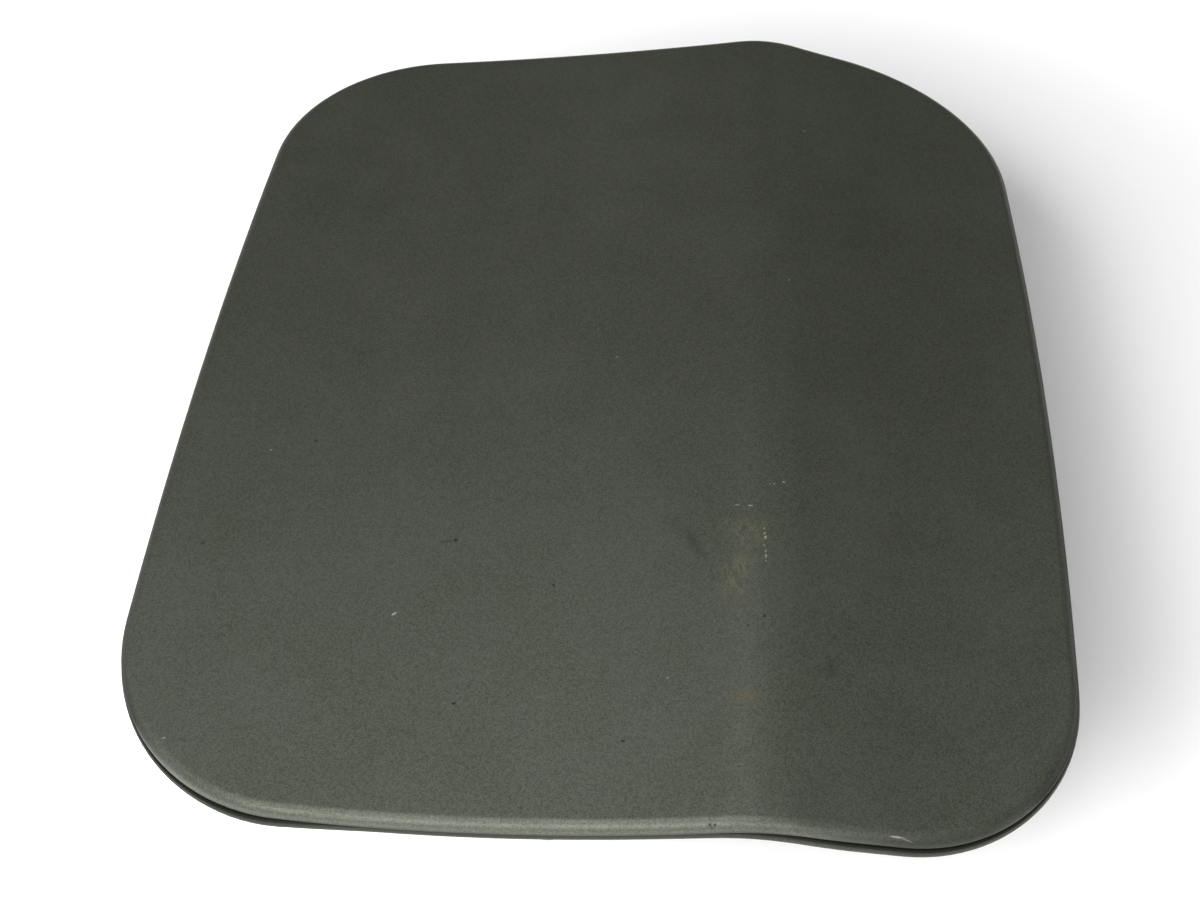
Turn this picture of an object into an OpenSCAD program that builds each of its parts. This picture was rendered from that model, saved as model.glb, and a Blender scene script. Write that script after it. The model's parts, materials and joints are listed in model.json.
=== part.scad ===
// Car fuel door: a hemmed steel lid with one long crease, lying face up on its hinge base and
// its latch striker. X runs across the crease, Y along it towards the hinge, Z up. The origin
// is on the floor under the middle of the lid. Millimetres.

/* [Lid outline] */
// Width across the crease, at the widest line of the rim
lid_w = 150; // [140:0.5:170]
// Length along the crease, latch end to hinge end
lid_l = 177.4; // [165:0.2:200]
// Corner radius, latch end, left
corner_latch_left = 32.6; // [26:0.1:36]
// Corner radius, latch end, right
corner_latch_right = 30; // [26:0.1:36]
// Corner radius, hinge end, right
corner_hinge_right = 35.4; // [26:0.1:38]
// Corner radius, hinge end, left
corner_hinge_left = 33; // [26:0.1:38]
// Bow of the left side
bow_left = 3.1; // [1:0.1:6]
// Bow of the right side
bow_right = 4; // [1:0.1:6]
// Bow of the latch end
bow_latch = 4.1; // [1:0.1:6]
// Bow of the hinge end
bow_hinge = 5; // [1:0.1:6]

/* [Lid surface] */
// Height of the crease line above the inner panel's floor
lid_depth = 15.1; // [14:0.1:20]
// Place of the crease across the lid
crease_x = 25.5; // [16:0.5:30]
// Width that the crease is rounded over, each side
crease_r = 6; // [3:0.5:7]
// Fall of the left field at the crease, per millimetre
left_fall = 0.202; // [0.15:0.002:0.22]
// Radius that the left field is hollowed to
left_hollow_r = 416.7; // [357:0.1:625]
// Fall of the right field at the crease, per millimetre
right_fall = 0.289; // [0.22:0.001:0.3]
// Radius that the right field is hollowed to
right_hollow_r = 217.4; // [192:0.1:333]

/* [Rim and hem] */
// Thickness of the outer skin
skin_t = 0.8; // [0.6:0.05:1]
// Outer radius of the rolled shoulder
shoulder_r = 2; // [1.6:0.1:2.6]
// Outer radius of the hem's fold
hem_r = 1.2; // [1.05:0.05:1.4]
// Width of the hem's return flange
hem_w = 8.5; // [6:0.5:9.5]
// Depth of the seam line between shoulder and hem
seam_d = 0.45; // [0.35:0.05:0.6]
// How far the hem stands proud of the shoulder on the left
ledge_left = 0.33; // [0.1:0.01:0.5]
// How far the hem stands proud of the shoulder on the right
ledge_right = 0.37; // [0.1:0.01:0.5]
// How far the hem is tucked in along the middle of the ends
ledge_tuck = 0.33; // [0.1:0.01:0.4]

/* [Inner panel] */
// Thickness of the inner panel
panel_t = 0.7; // [0.5:0.05:0.8]
// Width of the panel's edge flange
flange_w = 12; // [11:0.5:13]
// Run of the sloping step from flange to floor
step_w = 5; // [3:0.5:6]
// Depth of the stamped beads
bead_d = 1.6; // [1:0.1:2]
// Width of the stamped beads
bead_w = 9; // [6:0.5:10]
// Run of the beads' sloping sides
bead_run = 2.4; // [1.5:0.1:2.6]
// Length of the cross bead at the latch end
bead_cross_l = 62; // [50:1:70]
// Length of the two long beads
bead_long_l = 58; // [40:1:62]
// Distance of the two long beads from the lid's sides
bead_long_in = 28; // [25:1:31]
// Radius of the access holes
access_r = 7; // [5:0.5:8]
// Distance of the access holes from the middle line
access_x = 28; // [26:1:32]
// Radius of the drain holes
drain_r = 3; // [2:0.5:4]

/* [Hinge] */
// Distance from the hinge end of the lid back to the pin
pin_set = 14.2; // [13:0.1:16]
// Height of the pin above the floor
pin_h = 16; // [14:0.1:18]
// Height of the inner panel's floor above the pin
arm_drop = 8.9; // [8.6:0.1:10]
// Radius of the pin
pin_r = 2.5; // [2:0.1:2.8]
// Radial play of the pin in its bushes
pin_play = 0.05; // [0.02:0.01:0.08]
// Radius of the pin's head
pin_head_r = 4.4; // [4:0.1:5]
// Thickness of the pin's head
pin_head_t = 1.6; // [1:0.1:2]
// Sheet thickness of the hinge arm
arm_t = 2; // [1.5:0.1:2.2]
// Distance between the arm's two ears, inside
arm_gap = 25.2; // [22:0.2:28]
// Radius of the cam on the arm's ears
cam_r = 6.2; // [5.8:0.1:6.4]
// Distance from the pin to the cam's flats
cam_flat = 5; // [4.6:0.1:5.2]
// Width of the arm's foot
arm_foot_w = 42; // [38:1:46]
// Spacing of the arm's screws
arm_screw_x = 24; // [20:1:26]
// Distance from the pin to the arm's screws
arm_screw_y = 22.5; // [21:0.5:24]
// Sheet thickness of the hinge base
base_t = 2.2; // [1.8:0.1:2.5]
// Radius of the base's ears
base_ear_r = 7; // [6.5:0.1:7.4]
// Width of the base's foot
base_w = 60; // [56:1:70]
// Spacing of the two mounting holes
mount_x = 43; // [42:1:48]
// Distance from the pin back to the mounting holes
mount_y = 24; // [22:0.5:26]
// Radius of the mounting holes
mount_r = 3.3; // [2.6:0.1:3.5]
// Thickness of the bushes' flanges
bush_flange_t = 1; // [0.8:0.1:1.2]
// Radius of the bushes' flanges
bush_flange_r = 5.2; // [4.8:0.1:5.8]
// Radius of the bushes' sleeves
bush_r = 3.6; // [3.4:0.1:4]
// Thickness of the retaining clip
clip_t = 0.8; // [0.6:0.1:1]
// Outer radius of the retaining clip
clip_r = 4.6; // [4:0.1:5]
// Radius of the pin in the clip's groove
groove_r = 1.8; // [1.4:0.1:1.9]
// Radius inside the bends of the arm and the base
sheet_bend_r = 1; // [0.8:0.1:1.2]

/* [Spring and stop] */
// Thickness of the leaf spring
leaf_t = 0.6; // [0.4:0.1:0.8]
// Width of each finger of the leaf spring
leaf_finger_w = 4.5; // [3.5:0.5:5.5]
// Bend radius of the leaf spring, inside
leaf_bend_r = 2.4; // [1.5:0.1:3]
// Length of the leaf spring's foot
leaf_foot_l = 15; // [12:0.5:17]
// Spacing of the leaf spring's rivets
leaf_rivet_x = 14; // [12:1:16]
// Radius of the rivets' shanks
rivet_r = 1.6; // [1.2:0.1:2]
// Radius of the rivets' heads
rivet_head_r = 3; // [2.6:0.1:3.2]
// Height of the rivets' heads
rivet_head_h = 1.3; // [1:0.1:1.6]
// Width of the open stop
stop_w = 16; // [12:1:18]
// Thickness of the stop's rubber
stop_pad_t = 1.4; // [1.2:0.1:1.5]

/* [Latch striker] */
// Sheet thickness of the striker
striker_t = 2; // [1.5:0.1:2.5]
// Width of the striker
striker_w = 13; // [12:0.5:16]
// Place of the striker's right edge across the lid
striker_edge_x = -4.9; // [-6:0.1:2]
// Distance from the latch end of the lid back to the striker
striker_set = 13.7; // [13.2:0.1:15]
// Length of the striker's foot
striker_foot_l = 22; // [20:0.5:26]
// Slant of the striker's lower edge, degrees
striker_slant = 5; // [0:0.5:8]
// Radius of the striker's lower corners
striker_corner_r = 2; // [1.5:0.1:3]
// Width of the latch window
window_w = 7.4; // [6:0.2:8]
// Height of the latch window
window_h = 9; // [7:0.5:10]
// Height of the window's lower edge
window_z = 5; // [4:0.5:6]

/* [Fittings] */
// Distance of the bump stops from the lid's sides
bump_in = 27; // [26:1:32]
// Distance from the latch end back to the bump stops
bump_set = 30; // [28:1:34]
// Radius of the bump stops
bump_r = 6; // [5:0.5:6.5]
// Height of the bump stops below the panel
bump_h = 9; // [6:0.5:12]
// Radius of the bump stops' necks
bump_neck_r = 3.4; // [2.5:0.1:4]
// Width of the cap hook
hook_w = 18; // [14:1:22]
// Reach of the cap hook below the panel
hook_h = 14; // [12:0.5:16]
// Clear gap inside the cap hook
hook_gap = 7; // [6:0.5:8]
// Wall of the cap hook
hook_t = 2.2; // [1.8:0.1:2.6]
// Gap between the cap hook and the long bead beside it
hook_side_gap = 3.5; // [2:0.5:6]
// Distance of the cap hook from the drain holes at the latch end
hook_set = 18; // [14:0.5:22]

/* [Hidden] */
$fn = 48;

paint = [0.29, 0.31, 0.27];
zinc = [0.72, 0.71, 0.66];
black_steel = [0.16, 0.16, 0.17];
rubber = [0.07, 0.07, 0.07];
nylon = [0.86, 0.85, 0.8];
plastic = [0.12, 0.12, 0.13];
mastic = [0.35, 0.33, 0.3];

half_w = lid_w / 2;
half_l = lid_l / 2;
// Heights of the panel floor's lower face and of the crease
panel_h = pin_h + arm_drop;
crease_h = panel_h + lid_depth;
bump_x = lid_w - 2 * bump_in;
bead_long_x = half_w - bead_long_in;
hook_x = -(bead_long_x - bead_w / 2 - hook_side_gap - hook_w / 2);
// Clear gap between pieces that move past each other
run_gap = 0.4;
// Clear gap between sheets laid together
lay_gap = 0.05;

// Height of the outer surface at a place across the lid
crease_soft = 0.25 * (left_fall + right_fall) * crease_r;
function fall(d) =
    d < 0 ? left_fall * d + d * d / (2 * left_hollow_r) : -right_fall * d + d * d / (2 * right_hollow_r);
function surf_z(x) =
    let (d = x - crease_x, t = max(0, 1 - abs(d) / crease_r))
    crease_h + fall(d) - crease_soft * t * t;

function mix(a, b, t) = a + (b - a) * t;
function ease(t) = let (s = min(1, max(0, t))) s * s * (3 - 2 * s);
function full_turn(v) = (atan2(v[1], v[0]) + 360) % 360;

// Outline: four long arcs joined by four corner arcs
function bow_radius(half, bow) = (half * half + bow * bow) / (2 * bow);
side_bow = [bow_left, bow_right];
end_bow = [bow_latch, bow_hinge];
corner_radius = [[corner_latch_left, corner_latch_right], [corner_hinge_left, corner_hinge_right]];
function side_r(right) = bow_radius(half_l, side_bow[right]);
function end_r(far) = bow_radius(half_w, end_bow[far]);
function side_centre(right) = [(2 * right - 1) * (half_w - side_r(right)), 0];
function end_centre(far) = [0, (2 * far - 1) * (half_l - end_r(far))];
function meet(p, rp, q, rq, turn) =
    let (d = norm(q - p), a = (rp * rp - rq * rq + d * d) / (2 * d))
    let (h = sqrt(max(0, rp * rp - a * a)), e = (q - p) / d)
    p + e * a + [-e[1], e[0]] * h * turn;
function corner_centre(right, far) =
    let (r = corner_radius[far][right], turn = (2 * right - 1) * (2 * far - 1))
    meet(side_centre(right), side_r(right) - r, end_centre(far), end_r(far) - r, turn);

// Each outline point is [x, y, outward x, outward y]
function on_arc(c, r, a) = [c[0] + r * cos(a), c[1] + r * sin(a), cos(a), sin(a)];
function sweep_arc(c, r, a0, a1, steps, first, last) =
    [for (i = [first:last]) on_arc(c, r, mix(a0, a1, i / steps))];
function at_end(x, far) =
    let (c = end_centre(far), r = end_r(far), s = 2 * far - 1, h = sqrt(r * r - x * x))
    [x, c[1] + s * h, x / r, s * h / r];

side_steps = 4;
corner_steps = 12;
field_steps = 8;
crease_steps = 3;
end_reach = half_w - max(corner_latch_left, corner_latch_right, corner_hinge_left, corner_hinge_right) - 2;
end_places = concat(
    [for (i = [0:field_steps - 1]) mix(-end_reach, crease_x - crease_r, i / field_steps)],
    [for (i = [-crease_steps:crease_steps]) crease_x + i * crease_r / crease_steps],
    [end_reach]
);

function half_outline(far) =
    let (left = corner_centre(0, far), right = corner_centre(1, far))
    let (rl = corner_radius[far][0], rr = corner_radius[far][1])
    let (sl = full_turn(left - side_centre(0)), el = full_turn(left - end_centre(far)))
    let (er = full_turn(right - end_centre(far)), sr = full_turn(right - side_centre(1)))
    let (close = far == 1 ? 0 : 360)
    concat(
        sweep_arc(side_centre(0), side_r(0), 180, sl, side_steps, 0, side_steps - 1),
        sweep_arc(left, rl, sl, el, corner_steps, 0, corner_steps),
        [for (x = end_places) at_end(x, far)],
        sweep_arc(right, rr, er, sr, corner_steps, 0, corner_steps),
        sweep_arc(side_centre(1), side_r(1), sr, close, side_steps, 1, side_steps)
    );
near_half = half_outline(0);
far_half = half_outline(1);
span = len(near_half) - 1;
outline = concat(near_half, [for (k = [span - 1:-1:1]) far_half[k]]);
count = len(outline);
function far_index(k) = (count - k) % count;

// How far the hem stands proud (or is tucked in) at a place across the lid
function ledge(x) =
    mix(mix(-ledge_tuck, ledge_left, ease((-x - 0.36 * half_w) / (0.3 * half_w))),
        ledge_right, ease((x - 0.2 * half_w) / (0.5 * half_w)));

function rim_point(o, inset, drop) =
    let (x = o[0] - o[2] * inset, y = o[1] - o[3] * inset)
    [x, y, surf_z(x) - drop];

// Faces of a stack of rings, and the strips that close its two ends
function band(j, k) = [for (i = [0:count - 1]) let (n = (i + 1) % count)
    each [[j * count + i, j * count + n, k * count + n], [j * count + i, k * count + n, k * count + i]]];
function top_strips(j) = [for (k = [0:span - 1])
    let (a = j * count + k, b = j * count + k + 1)
    let (c = j * count + far_index(k + 1), d = j * count + far_index(k))
    each concat(k == 0 ? [] : [[a, d, c]], k == span - 1 ? [] : [[a, c, b]])];
function flipped(faces) = [for (f = faces) [f[2], f[1], f[0]]];
module stack(rings) {
    last = len(rings) - 1;
    points = [for (r = rings) each r];
    faces = concat(
        top_strips(0),
        [for (j = [0:last - 1]) each band(j, j + 1)],
        flipped(top_strips(last))
    );
    polyhedron(points, faces, convexity = 8);
}
module loop(rings) {
    m = len(rings);
    points = [for (r = rings) each r];
    polyhedron(points, [for (j = [0:m - 1]) each band(j, (j + 1) % m)], convexity = 8);
}

// Section of the skin's rim, from the top surface over the shoulder and round the hem
hem_gap = panel_t + 2 * lay_gap;
fold_set = 0.1;
seam_set = 0.25;
roof_set = 0.5;
hem_mid = shoulder_r + fold_set + hem_r;
hem_low = hem_mid + hem_r;
shoulder_steps = 6;
fold_angles = [50, 22, -6, -34, -62, -90];
function skin_section(g) =
    let (fold = hem_r - g, wall = skin_t + 1.5 * max(0, -g))
    concat(
        [for (i = [0:shoulder_steps]) let (a = 90 * i / shoulder_steps)
            [shoulder_r * (1 - sin(a)), shoulder_r * (1 - cos(a))]],
        [[seam_d - g / 2, shoulder_r + seam_set]],
        [for (a = fold_angles) [fold - hem_r * cos(a), hem_mid - hem_r * sin(a)]],
        [[hem_w, hem_low], [hem_w, hem_low - skin_t], [fold, hem_low - skin_t]],
        [[fold - hem_gap / 2, hem_mid], [wall, hem_mid - roof_set], [wall, shoulder_r]],
        [for (a = [60, 30, 0])
            [shoulder_r - (shoulder_r - wall) * sin(a), shoulder_r - (shoulder_r - skin_t) * cos(a)]]
    );

module outer_skin() {
    sections = [for (o = outline) skin_section(ledge(o[0]))];
    rings = [for (j = [0:len(sections[0]) - 1])
        [for (i = [0:count - 1]) rim_point(outline[i], sections[i][j][0], sections[i][j][1])]];
    color(paint) stack(rings);
}

// Inner panel: an edge flange caught in the hem, a sloping step and a flat floor
flange_low = hem_low - skin_t - lay_gap;
flange_edge = hem_r + ledge_tuck - 0.2;
panel_top = panel_h + panel_t;
step_places = [0, 0.22, 0.5, 0.78, 1];
function step_ring(t, lift) = [for (o = outline)
    let (p = rim_point(o, flange_w + step_w * t, flange_low))
    [p[0], p[1], mix(p[2], panel_h, ease(t)) + lift]];
function flange_ring(lift) = [for (o = outline) rim_point(o, flange_edge, flange_low - lift)];
pin_y = half_l - pin_set;
striker_x = striker_edge_x - striker_w / 2;
striker_y = striker_set - half_l;
screw_y = pin_y - arm_screw_y;
bump_y = bump_set - half_l;
// Distances back from the pin to the access holes, and from the screws to the middle drain
access_back = 38;
access_y = pin_y - access_back;
drain_back = 14;
cross_y = striker_y + striker_foot_l + bead_w;
strike_rivet_x = 0.27 * striker_w;
strike_rivet_y = striker_y + striker_t + 0.62 * striker_foot_l;
long_y = (cross_y + screw_y) / 2 - bead_w / 2;
drain_y = cross_y + 2 * bead_w;
hook_y = drain_y + hook_set;
screw_r = 3;
screw_play = 0.4;
hook_stem_r = 2.2;
hook_stem_x = 0.25 * hook_w;

module bead(reach, along, face, top) {
    // A bead has sloping sides and round ends, and hangs under the sheet's face at that height
    half = bead_w / 2;
    flat = half - bead_run;
    rise = bead_d + top - face;
    translate([0, 0, face - bead_d]) rotate(along ? 90 : 0) {
        along_x(-reach, reach) polygon([
            [-flat, 0], [flat, 0], [half, bead_d], [half, rise], [-half, rise], [-half, bead_d]
        ]);
        for (s = [-1, 1]) translate([s * reach, 0, 0]) rotate_extrude() polygon([
            [0, 0], [flat, 0], [half, bead_d], [half, rise], [0, rise]
        ]);
    }
}
module beads(face, top) {
    translate([0, cross_y, 0]) bead(bead_cross_l / 2, false, face, top);
    for (s = [-1, 1]) translate([s * bead_long_x, long_y, 0]) bead(bead_long_l / 2, true, face, top);
}
module through(x, y, r) {
    translate([x, y, panel_h - bead_w / 2]) cylinder(r = r, h = bead_w);
}
module inner_panel() {
    rings = concat(
        [for (t = [4:-1:0]) step_ring(step_places[t], panel_t)],
        [flange_ring(panel_t), flange_ring(0)],
        [for (t = [0:4]) step_ring(step_places[t], 0)]
    );
    color(paint) difference() {
        union() {
            stack(rings);
            beads(panel_h, panel_top);
        }
        beads(panel_top, panel_top + 1);
        for (s = [-1, 1]) {
            through(s * arm_screw_x / 2, screw_y, screw_r + screw_play);
            through(s * bump_x / 2, bump_y, bump_neck_r);
            through(s * access_x, access_y, access_r);
            through(hook_x + s * hook_stem_x, hook_y, hook_stem_r);
            through(striker_x + s * strike_rivet_x, strike_rivet_y, rivet_r);
            through(s * bead_long_x / 2, drain_y, drain_r);
        }
        through(0, screw_y - drain_back, drain_r);
    }
}

// Bead of sealer over the raw edge of the hem's return flange
sealer_w = 2.6;
module hem_sealer() {
    section = [
        [hem_w + lay_gap, flange_low + lay_gap], [hem_w + lay_gap, hem_low - 0.1],
        [hem_w + 0.35 * sealer_w, hem_low - 0.25], [hem_w + 0.75 * sealer_w, flange_low + 0.45],
        [hem_w + sealer_w, flange_low + lay_gap]
    ];
    color(paint) loop([for (s = section) [for (o = outline) rim_point(o, s[0], s[1])]]);
}

// Soft pads that stop the skin from drumming on the panel
pad_r = 7;
pad_places = [
    [-0.6 * half_w, -0.12 * half_l], [-0.6 * half_w, 0.14 * half_l], [-0.1 * half_w, 0.05 * half_l],
    [0.34 * half_w, -0.1 * half_l], [0.62 * half_w, 0.06 * half_l], [-0.1 * half_w, -0.47 * half_l]
];
function pad_top(x) = min(surf_z(x - pad_r), surf_z(x + pad_r)) - skin_t - 0.3;
module flutter_pads() {
    color(mastic) for (p = pad_places) translate([p[0], p[1], panel_top + lay_gap])
        cylinder(r1 = pad_r, r2 = pad_r * 0.7, h = pad_top(p[0]) - panel_top - lay_gap);
}

// Hinge arm: a foot under the panel and two ears with cams round the pin
ear_in = arm_gap / 2;
ear_out = ear_in + arm_t;
arm_low = panel_h - arm_t;
arm_mid = panel_h - arm_t / 2;
arm_reach = 8;
arm_end_y = pin_y + arm_reach;
arm_toe = 9;
arm_foot_y = screw_y - arm_toe;
arm_neck = 12;
arm_neck_y = pin_y - arm_neck;
arm_lap = 8;
arm_corner_r = 4;
arm_hole_r = 5;
arm_hole_y = pin_y - 4;
brace_w = 4;
module along_x(x0, x1) {
    // Draws a side view, y across and z up, between two places along x
    translate([x0, 0, 0]) rotate([90, 0, 90]) linear_extrude(x1 - x0) children();
}
module along_y(y0, y1) {
    // Draws a front view, x across and z up, between two places along y
    translate([0, y1, 0]) rotate([90, 0, 0]) linear_extrude(y1 - y0) children();
}
module quarter_ring(inner, outer, right, up) {
    // A quarter of a ring round the origin, in the quadrant that the two signs name
    intersection() {
        difference() {
            circle(r = outer);
            circle(r = inner);
        }
        translate([right > 0 ? 0 : -outer, up > 0 ? 0 : -outer]) square(outer);
    }
}
module channel_view(half, low, high, t) {
    // Front view of a strip that is bent down at both sides
    outer = sheet_bend_r + t;
    translate([outer - half, high - t]) square([2 * (half - outer), t]);
    for (s = [-1, 1]) {
        translate([s > 0 ? half - t : -half, low]) square([t, high - outer - low]);
        translate([s * (half - outer), high - outer]) quarter_ring(sheet_bend_r, outer, s, 1);
    }
}
module cam_view() {
    difference() {
        translate([pin_y, pin_h]) circle(r = cam_r);
        translate([pin_y - cam_flat - cam_r, pin_h - cam_r]) square([cam_r, 2 * cam_r]);
        translate([pin_y - cam_r, pin_h - cam_flat - cam_r]) square([2 * cam_r, cam_r]);
    }
}
module ear_view() {
    cam_view();
    polygon([
        [pin_y - cam_flat, pin_h], [pin_y + cam_r, pin_h], [arm_end_y, arm_mid],
        [pin_y - cam_flat - brace_w, arm_mid], [pin_y - cam_flat, pin_h + brace_w]
    ]);
    translate([arm_neck_y - arm_lap, arm_low]) square([arm_end_y - arm_neck_y + arm_lap, arm_t]);
}
module round_plate(x0, x1, y0, y1, z, t, r) {
    translate([x0 + r, y0, z]) cube([x1 - x0 - 2 * r, y1 - y0, t]);
    translate([x0, y0 + r, z]) cube([x1 - x0, y1 - y0 - 2 * r, t]);
    for (x = [x0 + r, x1 - r], y = [y0 + r, y1 - r]) translate([x, y, z]) cylinder(r = r, h = t);
}
module hinge_arm() {
    color(zinc) difference() {
        union() {
            round_plate(-arm_foot_w / 2, arm_foot_w / 2, arm_foot_y, arm_neck_y,
                arm_low, arm_t, arm_corner_r);
            intersection() {
                along_x(-ear_out - 1, ear_out + 1) ear_view();
                along_y(arm_foot_y, arm_end_y + 1) channel_view(ear_out, 0, panel_h, arm_t);
            }
        }
        for (s = [-1, 1]) translate([s * arm_screw_x / 2, screw_y, arm_low - 1])
            cylinder(r = screw_r + screw_play, h = arm_t + 2);
        pin_rod(pin_r, -ear_out - 1, ear_out + 1);
        translate([0, arm_hole_y, arm_low - 1]) cylinder(r = arm_hole_r, h = arm_t + 2);
    }
}

screw_head_h = 4;
screw_flange_h = 1.2;
screw_flange_r = 6.2;
screw_af = 10;
screw_tip = 1.5;
nut_h = 4.4;
nut_r = 5.6;
module arm_screw() {
    // Flanged hexagon screw, head down
    translate([0, 0, arm_low - screw_flange_h]) cylinder(r = screw_flange_r, h = screw_flange_h);
    translate([0, 0, arm_low - screw_flange_h - screw_head_h])
        cylinder(r = screw_af / 2 / cos(30), h = screw_head_h, $fn = 6);
    translate([0, 0, arm_low]) cylinder(r = screw_r, h = panel_top - arm_low + nut_h + screw_tip);
}
module arm_screws() {
    color(zinc) for (s = [-1, 1]) translate([s * arm_screw_x / 2, screw_y, 0]) arm_screw();
}
module weld_nuts() {
    color(zinc) for (s = [-1, 1]) translate([s * arm_screw_x / 2, screw_y, panel_top]) difference() {
        cylinder(r = nut_r, h = nut_h, $fn = 6);
        translate([0, 0, -1]) cylinder(r = screw_r, h = nut_h + 2);
    }
}

// Pin with a head at the left and a clip at the right
base_in = ear_out + run_gap + bush_flange_t;
base_out = base_in + base_t;
clip_x = base_out + run_gap;
pin_end = clip_x + clip_t + 1.2;
clip_eye_r = 0.9;
clip_eye_y = 3.1;
clip_eye_z = pin_h - 0.6;
clip_mouth = 1.6 * groove_r;
module pin_rod(r, x0, x1) {
    translate([x0, pin_y, pin_h]) rotate([0, 90, 0]) cylinder(r = r, h = x1 - x0);
}
module hinge_pin() {
    color(zinc) {
        pin_rod(pin_head_r, -clip_x - pin_head_t, -clip_x);
        pin_rod(pin_r, -clip_x, clip_x);
        pin_rod(groove_r, clip_x, clip_x + clip_t);
        pin_rod(pin_r, clip_x + clip_t, pin_end);
    }
}
module pin_clip() {
    color(black_steel) difference() {
        pin_rod(clip_r, clip_x, clip_x + clip_t);
        pin_rod(groove_r, clip_x - 1, clip_x + clip_t + 1);
        translate([clip_x - 1, pin_y - clip_mouth / 2, pin_h - clip_r - 1])
            cube([clip_t + 2, clip_mouth, clip_r + 1]);
        for (s = [-1, 1]) translate([clip_x - 1, pin_y + s * clip_eye_y, clip_eye_z])
            rotate([0, 90, 0]) cylinder(r = clip_eye_r, h = clip_t + 2);
    }
}

// Hinge base: a foot with two mounting holes, two ears and a stop
base_far = pin_y + base_ear_r;
base_toe = 9;
base_near = pin_y - mount_y - base_toe;
base_waist = 10;
base_neck = pin_y - base_waist;
base_lap = 6;
base_corner_r = 6;
base_ear_toe = 3;
// Gap left between two bodies where one comes to rest near the other
rest_gap = 0.3;
stop_y = pin_y + arm_low - pin_h - rest_gap - stop_pad_t;
stop_t = 2;
stop_top = pin_h - pin_r - 1.1;
stop_stem_r = 1.6;
stop_stem_drop = 6.6;
stop_stem_z = pin_h - stop_stem_drop;
stop_pad_h = 3.8;
stop_pad_w = stop_w - 2;
stop_knob_r = 2.3;
module stop_rod(r, back, front) {
    // A round along y, from behind the stop's face to in front of it
    translate([0, stop_y - back, stop_stem_z]) rotate([-90, 0, 0]) cylinder(r = r, h = back + front);
}
module base_ear_view() {
    translate([pin_y, pin_h]) circle(r = base_ear_r);
    polygon([
        [pin_y - base_ear_r, pin_h], [pin_y + base_ear_r, pin_h],
        [base_far, base_t / 2], [pin_y - base_ear_r - base_ear_toe, base_t / 2]
    ]);
    translate([base_neck - base_lap, 0]) square([base_far - base_neck + base_lap, base_t]);
}
module hinge_base() {
    color(zinc) difference() {
        union() {
            round_plate(-base_w / 2, base_w / 2, base_near, base_neck, 0, base_t, base_corner_r);
            intersection() {
                along_x(-base_out - 1, base_out + 1) base_ear_view();
                along_y(base_near, base_far + 1) mirror([0, 1])
                    channel_view(base_out, -pin_h - base_ear_r - 1, 0, base_t);
            }
            translate([-stop_w / 2, stop_y - stop_t, base_t / 2])
                cube([stop_w, stop_t, stop_top - base_t / 2]);
        }
        for (s = [-1, 1]) {
            translate([s * mount_x / 2, pin_y - mount_y, -1]) cylinder(r = mount_r, h = base_t + 2);
            translate([s * leaf_rivet_x / 2, leaf_rivet_y, -1]) cylinder(r = rivet_r, h = base_t + 2);
        }
        pin_rod(bush_r, -base_out - 1, base_out + 1);
        stop_rod(stop_stem_r, stop_t + 1, 1);
    }
}
module bush(side) {
    color(nylon) difference() {
        union() {
            pin_rod(bush_flange_r, side > 0 ? base_in - bush_flange_t : -base_in,
                side > 0 ? base_in : -base_in + bush_flange_t);
            pin_rod(bush_r, side > 0 ? base_in : -base_out, side > 0 ? base_out : -base_in);
        }
        pin_rod(pin_r + pin_play, -base_out - 1, base_out + 1);
    }
}
module bush_left() { bush(-1); }
module bush_right() { bush(1); }

// Leaf spring: a forked strip that stands against the cams' flats
leaf_face_y = pin_y - cam_flat - rest_gap;
leaf_back_y = leaf_face_y - leaf_t;
leaf_top = pin_h + 3;
leaf_outer_r = leaf_bend_r + leaf_t;
leaf_foot_y = leaf_face_y - leaf_outer_r;
leaf_rivet_y = leaf_foot_y - 0.55 * leaf_foot_l;
leaf_out = ear_out - 0.1;
curl_r = 1.2;
module leaf_view() {
    translate([leaf_foot_y - leaf_foot_l, base_t]) square([leaf_foot_l, leaf_t]);
    translate([leaf_foot_y, base_t + leaf_outer_r]) quarter_ring(leaf_bend_r, leaf_outer_r, 1, -1);
    translate([leaf_back_y, base_t + leaf_outer_r])
        square([leaf_t, leaf_top - base_t - leaf_outer_r - curl_r]);
    translate([leaf_back_y - curl_r, leaf_top - curl_r]) quarter_ring(curl_r, curl_r + leaf_t, 1, 1);
}
module leaf_spring() {
    color(black_steel) difference() {
        along_x(-leaf_out, leaf_out) leaf_view();
        translate([-leaf_out + leaf_finger_w, leaf_foot_y - 1, base_t - 1])
            cube([2 * (leaf_out - leaf_finger_w), leaf_foot_l, leaf_top]);
        for (s = [-1, 1]) translate([s * leaf_rivet_x / 2, leaf_rivet_y, base_t - 1])
            cylinder(r = rivet_r, h = leaf_t + 2);
    }
}
rivet_sink = 0.1;
module domed_head(r, h) {
    // A rivet head with a rounded crown
    crown = (r * r + h * h) / (2 * h);
    intersection() {
        translate([0, 0, h - crown]) sphere(r = crown);
        cylinder(r = r, h = h);
    }
}
module leaf_rivets() {
    color(zinc) for (s = [-1, 1]) translate([s * leaf_rivet_x / 2, leaf_rivet_y, 0]) {
        translate([0, 0, rivet_sink]) cylinder(r = rivet_r, h = base_t + leaf_t);
        translate([0, 0, base_t + leaf_t]) domed_head(rivet_head_r, rivet_head_h);
    }
}
module stop_buffer() {
    color(rubber) {
        translate([-stop_pad_w / 2, stop_y, stop_stem_z - stop_pad_h / 2])
            cube([stop_pad_w, stop_pad_t, stop_pad_h]);
        stop_rod(stop_stem_r, stop_t, 0);
        stop_rod(stop_knob_r, stop_t + 1, -stop_t);
    }
}

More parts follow.
